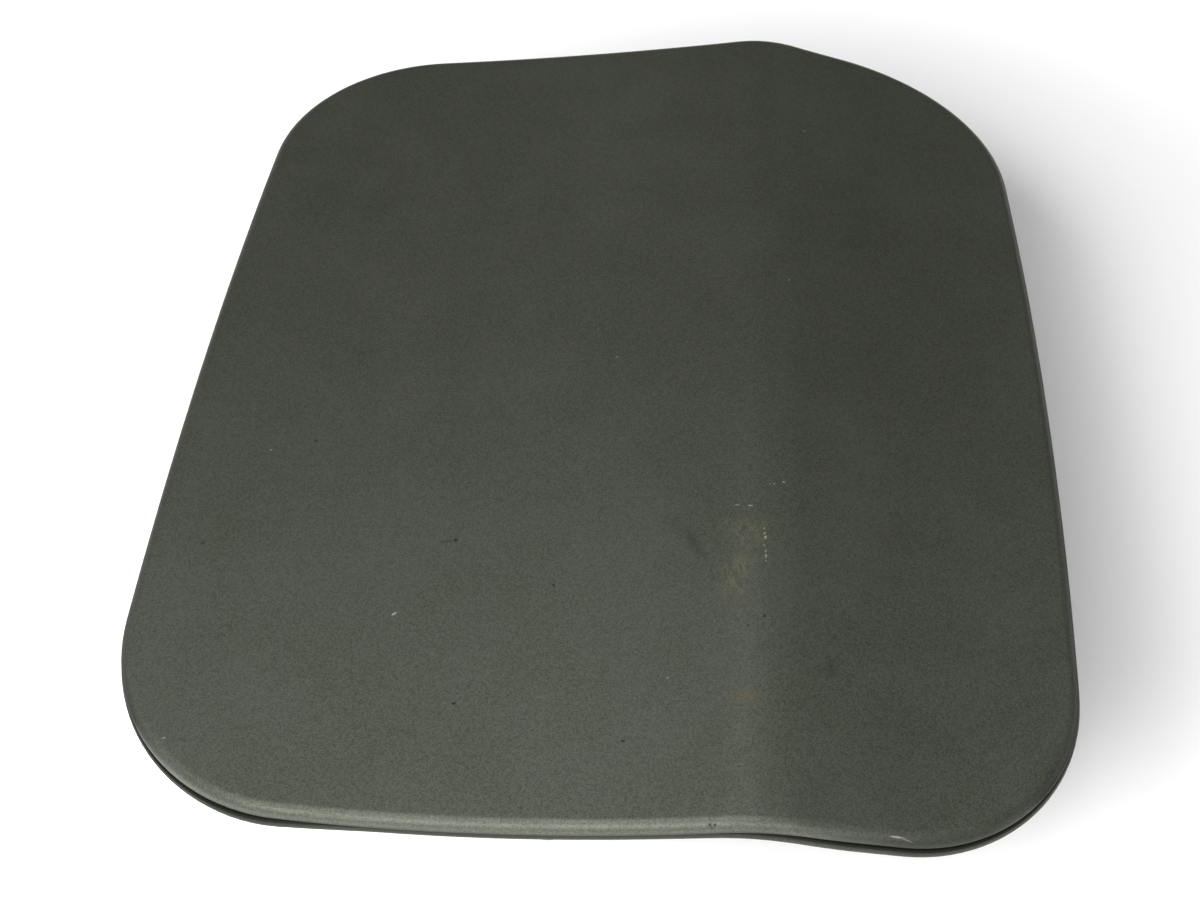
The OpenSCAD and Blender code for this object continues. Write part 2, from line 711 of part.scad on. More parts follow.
// Latch striker: a bent tab with a window and a slanted lead-in edge
striker_left = striker_edge_x - striker_w;
corner_x = striker_edge_x - striker_corner_r;
slant_x = corner_x - striker_corner_r * sin(striker_slant);
slant_z = striker_corner_r * (1 - cos(striker_slant));
function slant_h(x) = slant_z + (slant_x - x) * tan(striker_slant);
strike_low = panel_h - striker_t;
bend_r = 1.5;
rough_r = 1.5;
module striker_side_view() {
    outer_r = bend_r + striker_t;
    translate([striker_y, 0]) square([striker_t, panel_h - outer_r]);
    translate([striker_y + outer_r, strike_low]) square([striker_foot_l + striker_t - outer_r, striker_t]);
    translate([striker_y + outer_r, panel_h - outer_r]) quarter_ring(bend_r, outer_r, -1, 1);
}
module striker_front_view() {
    polygon([
        [striker_left, panel_h + 1], [striker_left, slant_h(striker_left) + rough_r],
        [striker_left + rough_r, slant_h(striker_left + rough_r)], [slant_x, slant_z],
        [corner_x, striker_corner_r], [striker_edge_x, striker_corner_r], [striker_edge_x, panel_h + 1]
    ]);
    translate([corner_x, striker_corner_r]) circle(r = striker_corner_r);
}
module striker() {
    color(paint) difference() {
        intersection() {
            along_x(striker_left, striker_edge_x) striker_side_view();
            along_y(striker_y - 1, striker_y + 2 * striker_foot_l) striker_front_view();
        }
        translate([striker_x - window_w / 2, striker_y - 1, window_z])
            cube([window_w, striker_t + 2, window_h]);
        for (s = [-1, 1]) translate([striker_x + s * strike_rivet_x, strike_rivet_y, strike_low - 1])
            cylinder(r = rivet_r, h = striker_t + 2);
    }
}
module striker_rivets() {
    tail_h = 1;
    color(paint) for (s = [-1, 1]) translate([striker_x + s * strike_rivet_x, strike_rivet_y, 0]) {
        translate([0, 0, strike_low]) cylinder(r = rivet_r, h = panel_top - strike_low + tail_h);
        translate([0, 0, strike_low]) mirror([0, 0, 1]) domed_head(0.9 * rivet_head_r, rivet_head_h);
        translate([0, 0, panel_top]) cylinder(r = 0.85 * rivet_head_r, h = tail_h);
    }
}

// Rubber bump stops, pushed through the panel up to a barb
bump_barb = 1.1;
bump_barb_top = panel_t + 1.6;
bump_nose = panel_t + 3.4;
module bump_stop(side) {
    color(rubber) translate([side * bump_x / 2, bump_y, panel_h]) rotate_extrude() polygon([
        [0, -bump_h], [0.55 * bump_r, -bump_h], [0.8 * bump_r, -0.87 * bump_h], [bump_r, -0.35 * bump_h],
        [bump_r, 0], [bump_neck_r, 0], [bump_neck_r, panel_t], [bump_neck_r + bump_barb, panel_t],
        [bump_neck_r + bump_barb / 2, bump_barb_top], [bump_neck_r / 2, bump_nose], [0, bump_nose]
    ]);
}
module bump_stop_left() { bump_stop(-1); }
module bump_stop_right() { bump_stop(1); }

// Plastic hook that the fuel cap hangs on
hook_low = panel_h - hook_h;
hook_top = panel_h - hook_t;
hook_root = 5;
hook_back_y = hook_y - hook_root;
hook_front_y = hook_back_y + hook_t + hook_gap;
hook_pad_l = 12;
hook_lip_h = 2.6;
hook_rib_l = 3;
hook_rib_t = 1.4;
module hook_view() {
    translate([hook_back_y - hook_rib_l, hook_top]) square([hook_rib_l + hook_pad_l, hook_t]);
    translate([hook_back_y, hook_low]) square([hook_t, hook_h - hook_t / 2]);
    translate([hook_back_y, hook_low]) square([2 * hook_t + hook_gap, hook_t]);
    translate([hook_front_y, hook_low]) square([hook_t, hook_t + hook_lip_h]);
    translate([hook_front_y + hook_t / 2, hook_low + hook_t + hook_lip_h]) circle(r = hook_t / 2);
}
module hook_rib_view() {
    polygon([
        [hook_back_y - hook_rib_l, hook_top], [hook_back_y + hook_t / 2, hook_top],
        [hook_back_y + hook_t / 2, hook_low + hook_t], [hook_back_y, hook_low + hook_t]
    ]);
}
module cap_hook() {
    color(plastic) {
        along_x(hook_x - hook_w / 2, hook_x + hook_w / 2) hook_view();
        for (s = [-1, 0, 1]) let (x = hook_x + 0.3 * s * hook_w)
            along_x(x - hook_rib_t / 2, x + hook_rib_t / 2) hook_rib_view();
        for (s = [-1, 1]) translate([hook_x + s * hook_stem_x, hook_y, panel_h]) {
            cylinder(r = hook_stem_r, h = panel_t);
            translate([0, 0, panel_t])
                cylinder(r1 = 1.3 * hook_stem_r, r2 = 0.6 * hook_stem_r, h = hook_stem_r);
        }
    }
}

// Rubber plugs in the two access holes: a flange below, a lip above and a thin web
plug_flange = 2;
plug_flange_h = 1.4;
plug_lip = 0.7;
plug_lip_h = 1.4;
plug_web = 0.6;
module access_plugs() {
    wall = access_r - plug_lip_h;
    color(rubber) for (s = [-1, 1]) translate([s * access_x, access_y, panel_h]) rotate_extrude() polygon([
        [0, -plug_web], [wall - 0.1, -plug_web], [wall + 0.2, -plug_flange_h],
        [access_r + plug_flange - 0.4, -plug_flange_h], [access_r + plug_flange, 0], [access_r, 0],
        [access_r, panel_t], [access_r + plug_lip, panel_t], [access_r - 0.2, panel_t + plug_lip_h],
        [wall, panel_t + plug_lip_h], [wall, plug_web], [0, plug_web]
    ]);
}

outer_skin();
inner_panel();
hem_sealer();
flutter_pads();
hinge_arm();
arm_screws();
weld_nuts();
hinge_pin();
pin_clip();
striker();
striker_rivets();
bump_stop_left();
bump_stop_right();
cap_hook();
access_plugs();
hinge_base();
bush_left();
bush_right();
leaf_spring();
leaf_rivets();
stop_buffer();
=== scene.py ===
"""Looks of a car fuel door: a creased, hemmed lid over its hinge base, level under soft light."""
import json
import logging
import math
from collections.abc import Sequence
from dataclasses import dataclass, field
from enum import Enum

import bmesh
import bpy
import numpy as np
from bpy.types import Material, Node, NodeTree, Object
from bpy.types import NodeSocket as Socket
from mathutils import Matrix, Vector


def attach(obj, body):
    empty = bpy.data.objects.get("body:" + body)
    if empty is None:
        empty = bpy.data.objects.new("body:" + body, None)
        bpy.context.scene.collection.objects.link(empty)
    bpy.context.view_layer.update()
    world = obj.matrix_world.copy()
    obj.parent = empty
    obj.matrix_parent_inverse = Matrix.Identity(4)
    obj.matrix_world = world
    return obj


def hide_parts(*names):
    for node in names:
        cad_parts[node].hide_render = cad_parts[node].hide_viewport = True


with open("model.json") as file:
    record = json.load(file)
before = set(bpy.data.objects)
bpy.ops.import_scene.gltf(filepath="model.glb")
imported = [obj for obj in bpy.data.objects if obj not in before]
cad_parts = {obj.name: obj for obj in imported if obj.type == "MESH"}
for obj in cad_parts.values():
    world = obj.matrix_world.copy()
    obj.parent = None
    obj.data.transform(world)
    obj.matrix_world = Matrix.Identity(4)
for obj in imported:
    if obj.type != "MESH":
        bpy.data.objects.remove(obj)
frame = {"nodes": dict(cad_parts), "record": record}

LOG = logging.getLogger("fuel_door")
MM = 0.001
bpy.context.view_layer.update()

Colour = tuple[float, float, float, float]
Array = np.ndarray
Amount = Array | float
Faces = list[tuple[int, ...]]


class Slot(Enum):
    """The record's material slots."""

    PAINT = "body_paint"
    SEALER = "painted_sealer"
    MASTIC = "mastic"
    ZINC = "zinc_plate"
    SPRING = "spring_steel"
    RUBBER = "rubber"
    NYLON = "nylon"
    PLASTIC = "black_plastic"


class Rides(Enum):
    """The body that the scene's own pieces ride."""

    LID = "lid"


class MarkKind(Enum):
    """What a mark on the paint is."""

    DARK = "dark"
    SMUDGE = "smudge"
    PALE = "pale"
    CHIP = "chip"
    SCUFF = "scuff"
    RUST = "rust"


# Mesh helpers


def rounded_arc(start: float, end: float, steps: int) -> Array:
    """Angles in radians from start to end degrees, both ends included."""
    return np.radians(np.linspace(start, end, steps + 1))


def mesh_piece(
    name: str,
    points: Array,
    faces: Sequence[Sequence[int]],
    masks: dict[str, Array] | None = None,
    merge: float = 1e-6,
) -> Object:
    """Makes a smooth-shaded mesh object.

    Args:
        name: the piece's name.
        points: vertices in metres, one row each.
        faces: vertex indices of each face.
        masks: named values, one per vertex, for the materials.
        merge: distance under which vertices become one.

    Returns:
        The linked object, its normals facing out.
    """
    bm = bmesh.new()
    layers = {key: bm.verts.layers.float.new(key) for key in (masks or {})}
    verts = [bm.verts.new(p) for p in points]
    for key, layer in layers.items():
        for v, value in zip(verts, masks[key]):
            v[layer] = float(value)
    for f in faces:
        bm.faces.new([verts[i] for i in f])
    bmesh.ops.remove_doubles(bm, verts=bm.verts, dist=merge)
    bmesh.ops.dissolve_degenerate(bm, edges=bm.edges, dist=merge)
    bmesh.ops.recalc_face_normals(bm, faces=bm.faces)
    for f in bm.faces:
        f.smooth = True
    mesh = bpy.data.meshes.new(name)
    bm.to_mesh(mesh)
    bm.free()
    obj = bpy.data.objects.new(name, mesh)
    bpy.context.scene.collection.objects.link(obj)
    return obj


def sharpen(obj: Object, angle: float) -> None:
    """Smooth shading with hard edges where faces meet at more than angle degrees.

    Args:
        obj: the piece.
        angle: the angle, in degrees.
    """
    bm = bmesh.new()
    bm.from_mesh(obj.data)
    limit = math.radians(angle)
    for f in bm.faces:
        f.smooth = True
    for e in bm.edges:
        e.smooth = len(e.link_faces) == 2 and e.calc_face_angle(0.0) < limit
    bm.to_mesh(obj.data)
    bm.free()


def ring_faces(rings: int, count: int, closed: bool = False) -> Faces:
    """Quads between successive closed rings of count points each.

    Args:
        rings: number of rings.
        count: points in each ring.
        closed: whether the last ring joins the first.

    Returns:
        The quads as vertex indices.
    """
    pairs = [(j, j + 1) for j in range(rings - 1)] + ([(rings - 1, 0)] if closed else [])
    return [
        (a * count + i, a * count + (i + 1) % count, b * count + (i + 1) % count, b * count + i)
        for a, b in pairs
        for i in range(count)
    ]


@dataclass(frozen=True)
class LidShape:
    """The lid's surface and outline, in millimetres, as the source draws them."""

    width: float = 150.0
    length: float = 177.4
    corner_latch: tuple[float, float] = (32.6, 30.0)
    corner_hinge: tuple[float, float] = (33.0, 35.4)
    bow_side: tuple[float, float] = (3.1, 4.0)
    bow_end: tuple[float, float] = (4.1, 5.0)
    crease_h: float = 40.0
    crease_x: float = 25.5
    crease_r: float = 6.0
    left_fall: float = 0.202
    left_hollow: float = 0.0012
    right_fall: float = 0.289
    right_hollow: float = 0.0023
    shoulder_r: float = 2.0
    hem_r: float = 1.2
    hem_w: float = 8.5
    skin_t: float = 0.8
    panel_t: float = 0.7
    panel_h: float = 24.9
    ledge_left: float = 0.33
    ledge_right: float = 0.37
    ledge_tuck: float = 0.33
    lay_gap: float = 0.05
    side_steps: int = 18
    corner_steps: int = 26
    field_steps: int = 44
    crease_steps: int = 10
    right_steps: int = 4
    end_margin: float = 2.0

    @property
    def hem_mid(self) -> float:
        """Depth of the hem fold's centre below the surface."""
        return self.shoulder_r + 0.1 + self.hem_r

    @property
    def hem_low(self) -> float:
        """Depth of the hem's lowest face below the surface."""
        return self.hem_mid + self.hem_r

    @property
    def flange_low(self) -> float:
        """Depth of the inner panel's flange underside below the surface."""
        return self.hem_low - self.skin_t - self.lay_gap

    def surface(self, x: Amount) -> Array:
        """Height of the painted face at places across the lid.

        Args:
            x: the places.

        Returns:
            The heights.
        """
        d = np.asarray(x, float) - self.crease_x
        left = self.left_fall * d + self.left_hollow * d * d
        right = -self.right_fall * d + self.right_hollow * d * d
        soft = 0.25 * (self.left_fall + self.right_fall) * self.crease_r
        t = np.maximum(0, 1 - np.abs(d) / self.crease_r)
        return self.crease_h + np.where(d < 0, left, right) - soft * t * t

    def ledge(self, x: Amount) -> Array:
        """How far the hem stands proud of the shoulder at places across the lid.

        Args:
            x: the places.

        Returns:
            The distances, negative where it is tucked in.
        """

        def ease(v: Array) -> Array:
            """A smooth step from 0 to 1."""
            s = np.clip(v, 0, 1)
            return s * s * (3 - 2 * s)

        half = self.width / 2
        left = ease((-np.asarray(x, float) - 0.36 * half) / (0.3 * half))
        right = ease((np.asarray(x, float) - 0.2 * half) / (0.5 * half))
        inner = -self.ledge_tuck + (self.ledge_left + self.ledge_tuck) * left
        return inner + (self.ledge_right - inner) * right

    @staticmethod
    def _bow_radius(half: float, bow: float) -> float:
        """Radius of an arc that rises by bow over half its chord."""
        return (half * half + bow * bow) / (2 * bow)

    def _side(self, right: int) -> tuple[Array, float]:
        """Centre and radius of a long side's arc."""
        r = self._bow_radius(self.length / 2, self.bow_side[right])
        return np.array([(2 * right - 1) * (self.width / 2 - r), 0.0]), r

    def _end(self, far: int) -> tuple[Array, float]:
        """Centre and radius of an end's arc."""
        r = self._bow_radius(self.width / 2, self.bow_end[far])
        return np.array([0.0, (2 * far - 1) * (self.length / 2 - r)]), r

    def _corner(self, right: int, far: int) -> tuple[Array, float]:
        """Centre and radius of a corner arc that touches its side and its end.

        Args:
            right: 0 for the left side, 1 for the right.
            far: 0 for the latch end, 1 for the hinge end.

        Returns:
            The centre and the radius.
        """
        r = (self.corner_hinge if far else self.corner_latch)[right]
        (p, rp), (q, rq) = self._side(right), self._end(far)
        rp, rq = rp - r, rq - r
        d = float(np.linalg.norm(q - p))
        a = (rp * rp - rq * rq + d * d) / (2 * d)
        h = math.sqrt(max(0.0, rp * rp - a * a))
        e = (q - p) / d
        turn = (2 * right - 1) * (2 * far - 1)
        return p + e * a + np.array([-e[1], e[0]]) * h * turn, r

    @staticmethod
    def _arc(centre: Array, r: float, a0: float, a1: float, steps: int) -> Array:
        """Outline rows along an arc.

        Args:
            centre: the arc's centre.
            r: its radius.
            a0: its first angle, in degrees.
            a1: its last angle.
            steps: the steps between the two.

        Returns:
            Rows of x, y, outward x, outward y.
        """
        a = np.radians(a0 + (a1 - a0) * np.arange(steps + 1) / steps)
        out = np.column_stack([np.cos(a), np.sin(a)])
        return np.hstack([centre + r * out, out])

    def half_outline(self, far: int) -> Array:
        """Outline of one end, left to right.

        Args:
            far: 0 for the latch end, 1 for the hinge end.

        Returns:
            Rows of x, y, outward x, outward y.
        """

        def turn(v: Array) -> float:
            """A direction's angle in degrees."""
            return math.degrees(math.atan2(v[1], v[0])) % 360

        (side_l, rsl), (side_r, rsr) = self._side(0), self._side(1)
        (left, rl), (right, rr) = self._corner(0, far), self._corner(1, far)
        end, re = self._end(far)
        reach = self.width / 2 - max(self.corner_latch + self.corner_hinge) - self.end_margin
        low, high = self.crease_x - self.crease_r, self.crease_x + self.crease_r
        x = np.concatenate([
            np.linspace(-reach, low, self.field_steps, endpoint=False),
            np.linspace(low, high, 2 * self.crease_steps + 1),
            np.linspace(high, reach, self.right_steps)[1:],
        ])
        h = (2 * far - 1) * np.sqrt(re * re - x * x)
        return np.vstack([
            self._arc(side_l, rsl, 180, turn(left - side_l), self.side_steps)[:-1],
            self._arc(left, rl, turn(left - side_l), turn(left - end), self.corner_steps),
            np.column_stack([x, end[1] + h, x / re, h / re]),
            self._arc(right, rr, turn(right - end), turn(right - side_r), self.corner_steps),
            self._arc(side_r, rsr, turn(right - side_r), 0 if far else 360, self.side_steps)[1:],
        ])

    def outline(self) -> Array:
        """The whole closed outline, latch end first."""
        near, far = self.half_outline(0), self.half_outline(1)
        return np.vstack([near, far[-2:0:-1]])

    def rim(self, rows: Array, inset: Amount, drop: Amount) -> Array:
        """Points that lie inside the outline and below the surface.

        Args:
            rows: outline rows.
            inset: distance inside the outline.
            drop: distance below the surface.

        Returns:
            One point per row, in millimetres.
        """
        x = rows[:, 0] - rows[:, 2] * inset
        y = rows[:, 1] - rows[:, 3] * inset
        return np.column_stack([x, y, self.surface(x) - drop])

    def field_grid(self, inset: float, drop: float, rows: int) -> tuple[Array, Faces]:
        """A grid over the whole face inside a rim ring.

        Args:
            inset: distance of the ring inside the outline.
            drop: distance below the painted face.
            rows: number of cells from end to end.

        Returns:
            Points in millimetres, and quads.
        """
        near = self.rim(self.half_outline(0), inset, drop)
        far = self.rim(self.half_outline(1), inset, drop)
        t = np.linspace(0, 1, rows + 1)[:, None, None]
        xy = near[None, :, :2] * (1 - t) + far[None, :, :2] * t
        z = self.surface(xy[..., 0]) - drop
        points = np.concatenate([xy, z[..., None]], axis=2).reshape(-1, 3)
        n = len(near)
        quads = [
            (j * n + i, j * n + i + 1, (j + 1) * n + i + 1, (j + 1) * n + i)
            for j in range(rows)
            for i in range(n - 1)
        ]
        return points, quads


# Node helpers


class NodeKit:
    """Short ways to add and join shader nodes in one tree."""

    def __init__(self, tree: NodeTree) -> None:
        """Keeps the tree that the nodes go into."""
        self.tree = tree

    def node(self, kind: str, inputs: dict | None = None, **settings: object) -> Node:
        """Adds a node.

        Args:
            kind: Blender's node type.
            inputs: values or sockets, by the input's name or number.
            settings: the node's own properties.

        Returns:
            The node.
        """
        n = self.tree.nodes.new(kind)
        for key, value in settings.items():
            setattr(n, key, value)
        self.feed(n, inputs or {})
        return n

    def feed(self, node: Node, inputs: dict) -> None:
        """Links sockets to a node's inputs and sets plain values on them.

        Args:
            node: the node.
            inputs: values or sockets, by the input's name or number.
        """
        for key, value in inputs.items():
            if isinstance(value, Socket):
                self.tree.links.new(value, node.inputs[key])
            else:
                node.inputs[key].default_value = value

    def math(self, operation: str, a: object, b: object = 0.0, clamp: bool = False) -> Socket:
        """One Math node's result."""
        inputs = {0: a, 1: b}
        return self.node("ShaderNodeMath", inputs, operation=operation, use_clamp=clamp).outputs[0]

    def mix(self, factor: object, a: object, b: object) -> Socket:
        """A colour mix of a and b."""
        inputs = {0: factor, 6: a, 7: b}
        return self.node("ShaderNodeMix", inputs, data_type="RGBA", clamp_factor=True).outputs[2]

    def remap(
        self, value: object, low: object, high: object, to_low: float = 0.0,
        to_high: object = 1.0, kind: str = "SMOOTHSTEP",
    ) -> Socket:
        """Maps value from low..high to to_low..to_high, clamped."""
        inputs = {0: value, 1: low, 2: high, 3: to_low, 4: to_high}
        return self.node("ShaderNodeMapRange", inputs, interpolation_type=kind).outputs[0]

    def noise(self, where: object, scale: float, detail: float, rough: float) -> Socket:
        """A noise value around 0.5."""
        inputs = {"Vector": where, "Scale": scale, "Detail": detail, "Roughness": rough}
        return self.node("ShaderNodeTexNoise", inputs).outputs[0]

    def vector(self, operation: str, a: object, b: object) -> Socket:
        """One Vector Math node's vector."""
        return self.node("ShaderNodeVectorMath", {0: a, 1: b}, operation=operation).outputs[0]

    def measure(self, operation: str, a: object, b: object) -> Socket:
        """One Vector Math node's number: a distance, a length or a dot product."""
        return self.node("ShaderNodeVectorMath", {0: a, 1: b}, operation=operation).outputs[1]

    def bump(self, height: object, strength: float, depth: float, after: object = None) -> Socket:
        """A bumped normal, on top of another where one is given.

        Args:
            height: the height.
            strength: how strongly it shows.
            depth: its depth in metres.
            after: the normal under it.

        Returns:
            The normal.
        """
        inputs = {"Strength": strength, "Distance": depth, "Height": height}
        if after is not None:
            inputs["Normal"] = after
        return self.node("ShaderNodeBump", inputs).outputs[0]


def new_material(name: str) -> tuple[Material, NodeKit, Node, Socket]:
    """An empty material with its principled shader.

    Args:
        name: the material's name.

    Returns:
        The material, its node kit, the shader node and the object coordinates.
    """
    mat = bpy.data.materials.new(name)
    mat.use_nodes = True
    tree = mat.node_tree
    shader = tree.nodes["Principled BSDF"]
    where = tree.nodes.new("ShaderNodeTexCoord").outputs["Object"]
    return mat, NodeKit(tree), shader, where


def grey(value: float) -> Colour:
    """A neutral colour."""
    return (value, value, value, 1.0)


# Finishes


@dataclass(frozen=True)
class Mark:
    """One mark on the paint, in millimetres on the lid's face."""

    kind: MarkKind
    x: float
    y: float
    length: float
    width: float
    angle: float = 0.0
    soft: float = 0.5
    strength: float = 1.0


MARK_ROWS: dict[MarkKind, tuple[tuple[float, ...], ...]] = {
    MarkKind.SCUFF: (
        (23.0, -39.6, 6.0, 4.6, 30, 0.9, 0.6), (21.2, -48.0, 8.0, 4.4, 80, 0.9, 0.6),
        (20.2, -38.0, 4.0, 3.0, 40, 0.9, 0.4),
    ),
    MarkKind.PALE: (
        (25.3, -38.7, 0.45, 0.25, 70, 0.5, 0.6), (25.4, -39.6, 0.5, 0.3, 60, 0.5, 0.7),
        (25.5, -40.4, 0.65, 0.35, 80, 0.5, 0.9), (25.3, -41.9, 0.35, 0.22, 90, 0.5, 0.6),
        (25.55, -43.0, 0.5, 0.25, 88, 0.5, 0.7), (25.6, -43.9, 0.6, 0.28, 92, 0.5, 0.8),
        (25.6, -44.8, 0.35, 0.2, 90, 0.5, 0.6), (21.0, -34.3, 0.75, 0.2, 12, 0.5, 0.6),
        (23.1, -34.4, 0.75, 0.25, -8, 0.5, 0.8), (26.2, -29.9, 0.3, 0.2, 0, 0.5, 0.5),
        (26.9, -29.8, 0.35, 0.25, 35, 0.5, 0.8), (28.4, -29.2, 0.45, 0.3, 0, 0.5, 0.9),
        (-31.4, -53.7, 0.8, 0.4, 40, 0.4, 0.9), (-0.2, -0.8, 0.45, 0.3, 10, 0.5, 0.5),
        (33.0, 59.6, 0.5, 0.3, 0, 0.5, 0.5), (29.6, 16.8, 0.45, 0.3, 40, 0.5, 0.5),
        (11.5, -65.1, 0.35, 0.25, 0, 0.5, 0.5), (-62.0, -76.6, 0.5, 0.3, 20, 0.5, 0.6),
        (-57.9, -22.0, 0.4, 0.3, 0, 0.5, 0.5), (43.9, -86.5, 1.7, 0.22, 2, 0.5, 0.9),
        (45.3, -86.65, 1.7, 0.14, -8, 0.5, 0.55),
    ),
    MarkKind.RUST: (
        (23.0, -68.5, 4.6, 2.0, -10, 0.9, 0.45), (7.6, -33.5, 2.8, 0.6, 8, 0.7, 0.35),
        (73.4, 12.8, 2.0, 1.0, 90, 0.7, 0.4),
    ),
    MarkKind.SMUDGE: (
        (12.8, -38.6, 6.5, 2.2, -50, 0.9, 0.20), (14.4, -41.0, 6.0, 1.3, -62, 0.8, 0.40),
        (35.2, -62.2, 2.6, 1.8, 80, 0.9, 0.35), (-47.0, 42.3, 9.0, 6.0, 20, 0.9, 0.12),
        (-60.4, 44.1, 8.0, 5.0, -30, 0.9, 0.10),
    ),
    MarkKind.DARK: (
        (-23.6, -39.6, 0.8, 0.6, 0, 0.4, 0.8), (-24.9, -39.9, 2.4, 0.3, 14, 0.6, 0.5),
        (-50.6, -19.6, 0.6, 0.5, 0, 0.4, 0.7), (-64.8, -41.8, 0.7, 0.4, 30, 0.4, 0.7),
        (-6.9, -48.3, 0.6, 0.4, 60, 0.4, 0.8), (-19.8, -69.1, 0.6, 0.5, 0, 0.4, 0.8),
        (5.6, -75.2, 0.7, 0.4, 10, 0.4, 0.8), (25.4, -54.7, 0.6, 0.45, 80, 0.4, 0.8),
        (23.0, -56.5, 0.4, 0.35, 0, 0.4, 0.6),
    ),
    MarkKind.CHIP: (
        (18.2, -87.8, 0.45, 0.35, 0, 0.4, 1.0), (18.9, -87.8, 0.45, 0.3, 30, 0.4, 1.0),
        (18.5, -88.1, 0.3, 0.2, 0, 0.4, 0.9),
    ),
}
MARKS = tuple(Mark(kind, *row) for kind, rows in MARK_ROWS.items() for row in rows)


@dataclass(frozen=True)
class CarPaint:
    """Olive-grey metallic paint with fine flake, marks of use, painted light, and dirt with
    painted shade at the seam.
    """

    deep: Colour = (0.053, 0.060, 0.044, 1.0)
    bright: Colour = (0.127, 0.137, 0.113, 1.0)
    grime_and_shade: Colour = (0.016, 0.017, 0.012, 1.0)
    warm_flake: Colour = (0.135, 0.118, 0.080, 1.0)
    green_flake: Colour = (0.080, 0.110, 0.066, 1.0)
    clouded: Colour = grey(0.16)
    mark_colours: tuple[tuple[MarkKind, Colour], ...] = (
        (MarkKind.SCUFF, (0.19, 0.178, 0.100, 1.0)),
        (MarkKind.RUST, (0.15, 0.115, 0.055, 1.0)),
        (MarkKind.SMUDGE, (0.030, 0.032, 0.026, 1.0)),
        (MarkKind.DARK, (0.012, 0.012, 0.010, 1.0)),
        (MarkKind.PALE, (0.42, 0.42, 0.36, 1.0)),
        (MarkKind.CHIP, grey(0.008)),
    )
    flake_scale: float = 6400.0
    cloud_scale: float = 45.0
    patch_scale: float = 120.0
    peel_scale: float = 620.0
    scuff_scale: float = 1500.0
    ragged_scale: float = 2600.0
    raggedness: float = 1.1
    metallic: float = 0.55
    roughness: float = 0.42
    grime_and_shade_roughness: float = 0.3
    scuff_roughness: float = 0.2
    coat: float = 0.25
    coat_roughness: float = 0.27
    # Painted light: the paint is lighter toward the latch end, with painted shade left of the
    # crease and a painted highlight right of it.
    latch_light_from: float = 0.03
    latch_light_to: float = -0.11
    latch_light_far: float = 0.87
    latch_light_near: float = 1.23
    crease_painted_shading: tuple[tuple[float, ...], ...] = (
        (-0.010, 0.0300, 0.0215, -0.10),
        (0.0250, 0.046, 0.0300, 0.11),
    )
    marks: tuple[Mark, ...] = MARKS

    @staticmethod
    def _spot_group() -> NodeTree:
        """A node group with a strength inside a ragged ellipse and 0 outside.

        Returns:
            The group.
        """
        tree = bpy.data.node_groups.new("paint_spot", "ShaderNodeTree")
        sockets = {
            "Vector": ("Where", "Centre", "Along", "Across"),
            "Float": ("Ragged", "Outer", "Inner", "Strength"),
        }
        for kind, names in sockets.items():
            for name in names:
                tree.interface.new_socket(name, in_out="INPUT", socket_type="NodeSocket" + kind)
        tree.interface.new_socket("Mask", in_out="OUTPUT", socket_type="NodeSocketFloat")
        kit = NodeKit(tree)
        given = kit.node("NodeGroupInput").outputs
        offset = kit.vector("SUBTRACT", given["Where"], given["Centre"])
        u = kit.measure("DOT_PRODUCT", offset, given["Along"])
        v = kit.measure("DOT_PRODUCT", offset, given["Across"])
        square = kit.math("ADD", kit.math("MULTIPLY", u, u), kit.math("MULTIPLY", v, v))
        reach = kit.math("ADD", kit.math("SQRT", square), given["Ragged"])
        mask = kit.remap(reach, given["Outer"], given["Inner"], 0.0, given["Strength"])
        kit.node("NodeGroupOutput", {"Mask": mask})
        return tree

    def _mark_masks(self, kit: NodeKit, where: Socket) -> dict[MarkKind, Socket]:
        """One mask for each kind of mark.

        Args:
            kit: the paint's node kit.
            where: the object coordinates.

        Returns:
            The masks by kind.
        """
        group = self._spot_group()
        flat = kit.vector("MULTIPLY", where, (1.0, 1.0, 0.0))
        waver = kit.math("SUBTRACT", kit.noise(flat, self.ragged_scale, 2.0, 0.65), 0.5)
        ragged = kit.math("MULTIPLY", waver, self.raggedness)
        masks: dict[MarkKind, Socket] = {}
        for mark in self.marks:
            turn = math.radians(mark.angle)
            along, across = 2 / (mark.length * MM), 2 / (mark.width * MM)
            inputs = {
                "Where": flat,
                "Ragged": ragged,
                "Centre": (mark.x * MM, mark.y * MM, 0.0),
                "Along": (along * math.cos(turn), along * math.sin(turn), 0.0),
                "Across": (-across * math.sin(turn), across * math.cos(turn), 0.0),
                "Outer": 1 + mark.soft,
                "Inner": 1 - mark.soft,
                "Strength": mark.strength,
            }
            mask = kit.node("ShaderNodeGroup", inputs, node_tree=group).outputs[0]
            known = masks.get(mark.kind)
            masks[mark.kind] = mask if known is None else kit.math("MAXIMUM", known, mask)
        return masks

    def _painted_light(self, kit: NodeKit, where: Socket) -> Socket:
        """A factor of painted light: lighter toward the latch end, with painted shade left of the
        crease and a painted highlight right of it.

        Args:
            kit: the paint's node kit.
            where: the object coordinates.

        Returns:
            The factor.
        """
        across, along, _ = kit.node("ShaderNodeSeparateXYZ", {0: where}).outputs
        painted_light = kit.remap(along, self.latch_light_from, self.latch_light_to, self.latch_light_far, self.latch_light_near)
        for start, end, middle, amount in self.crease_painted_shading:
            rise = kit.remap(across, start, middle, 0.0, amount)
            fall = kit.remap(across, middle, end, 1.0, 0.0)
            crease_shading = kit.math("ADD", 1.0, kit.math("MULTIPLY", rise, fall))
            painted_light = kit.math("MULTIPLY", painted_light, crease_shading)
        return painted_light

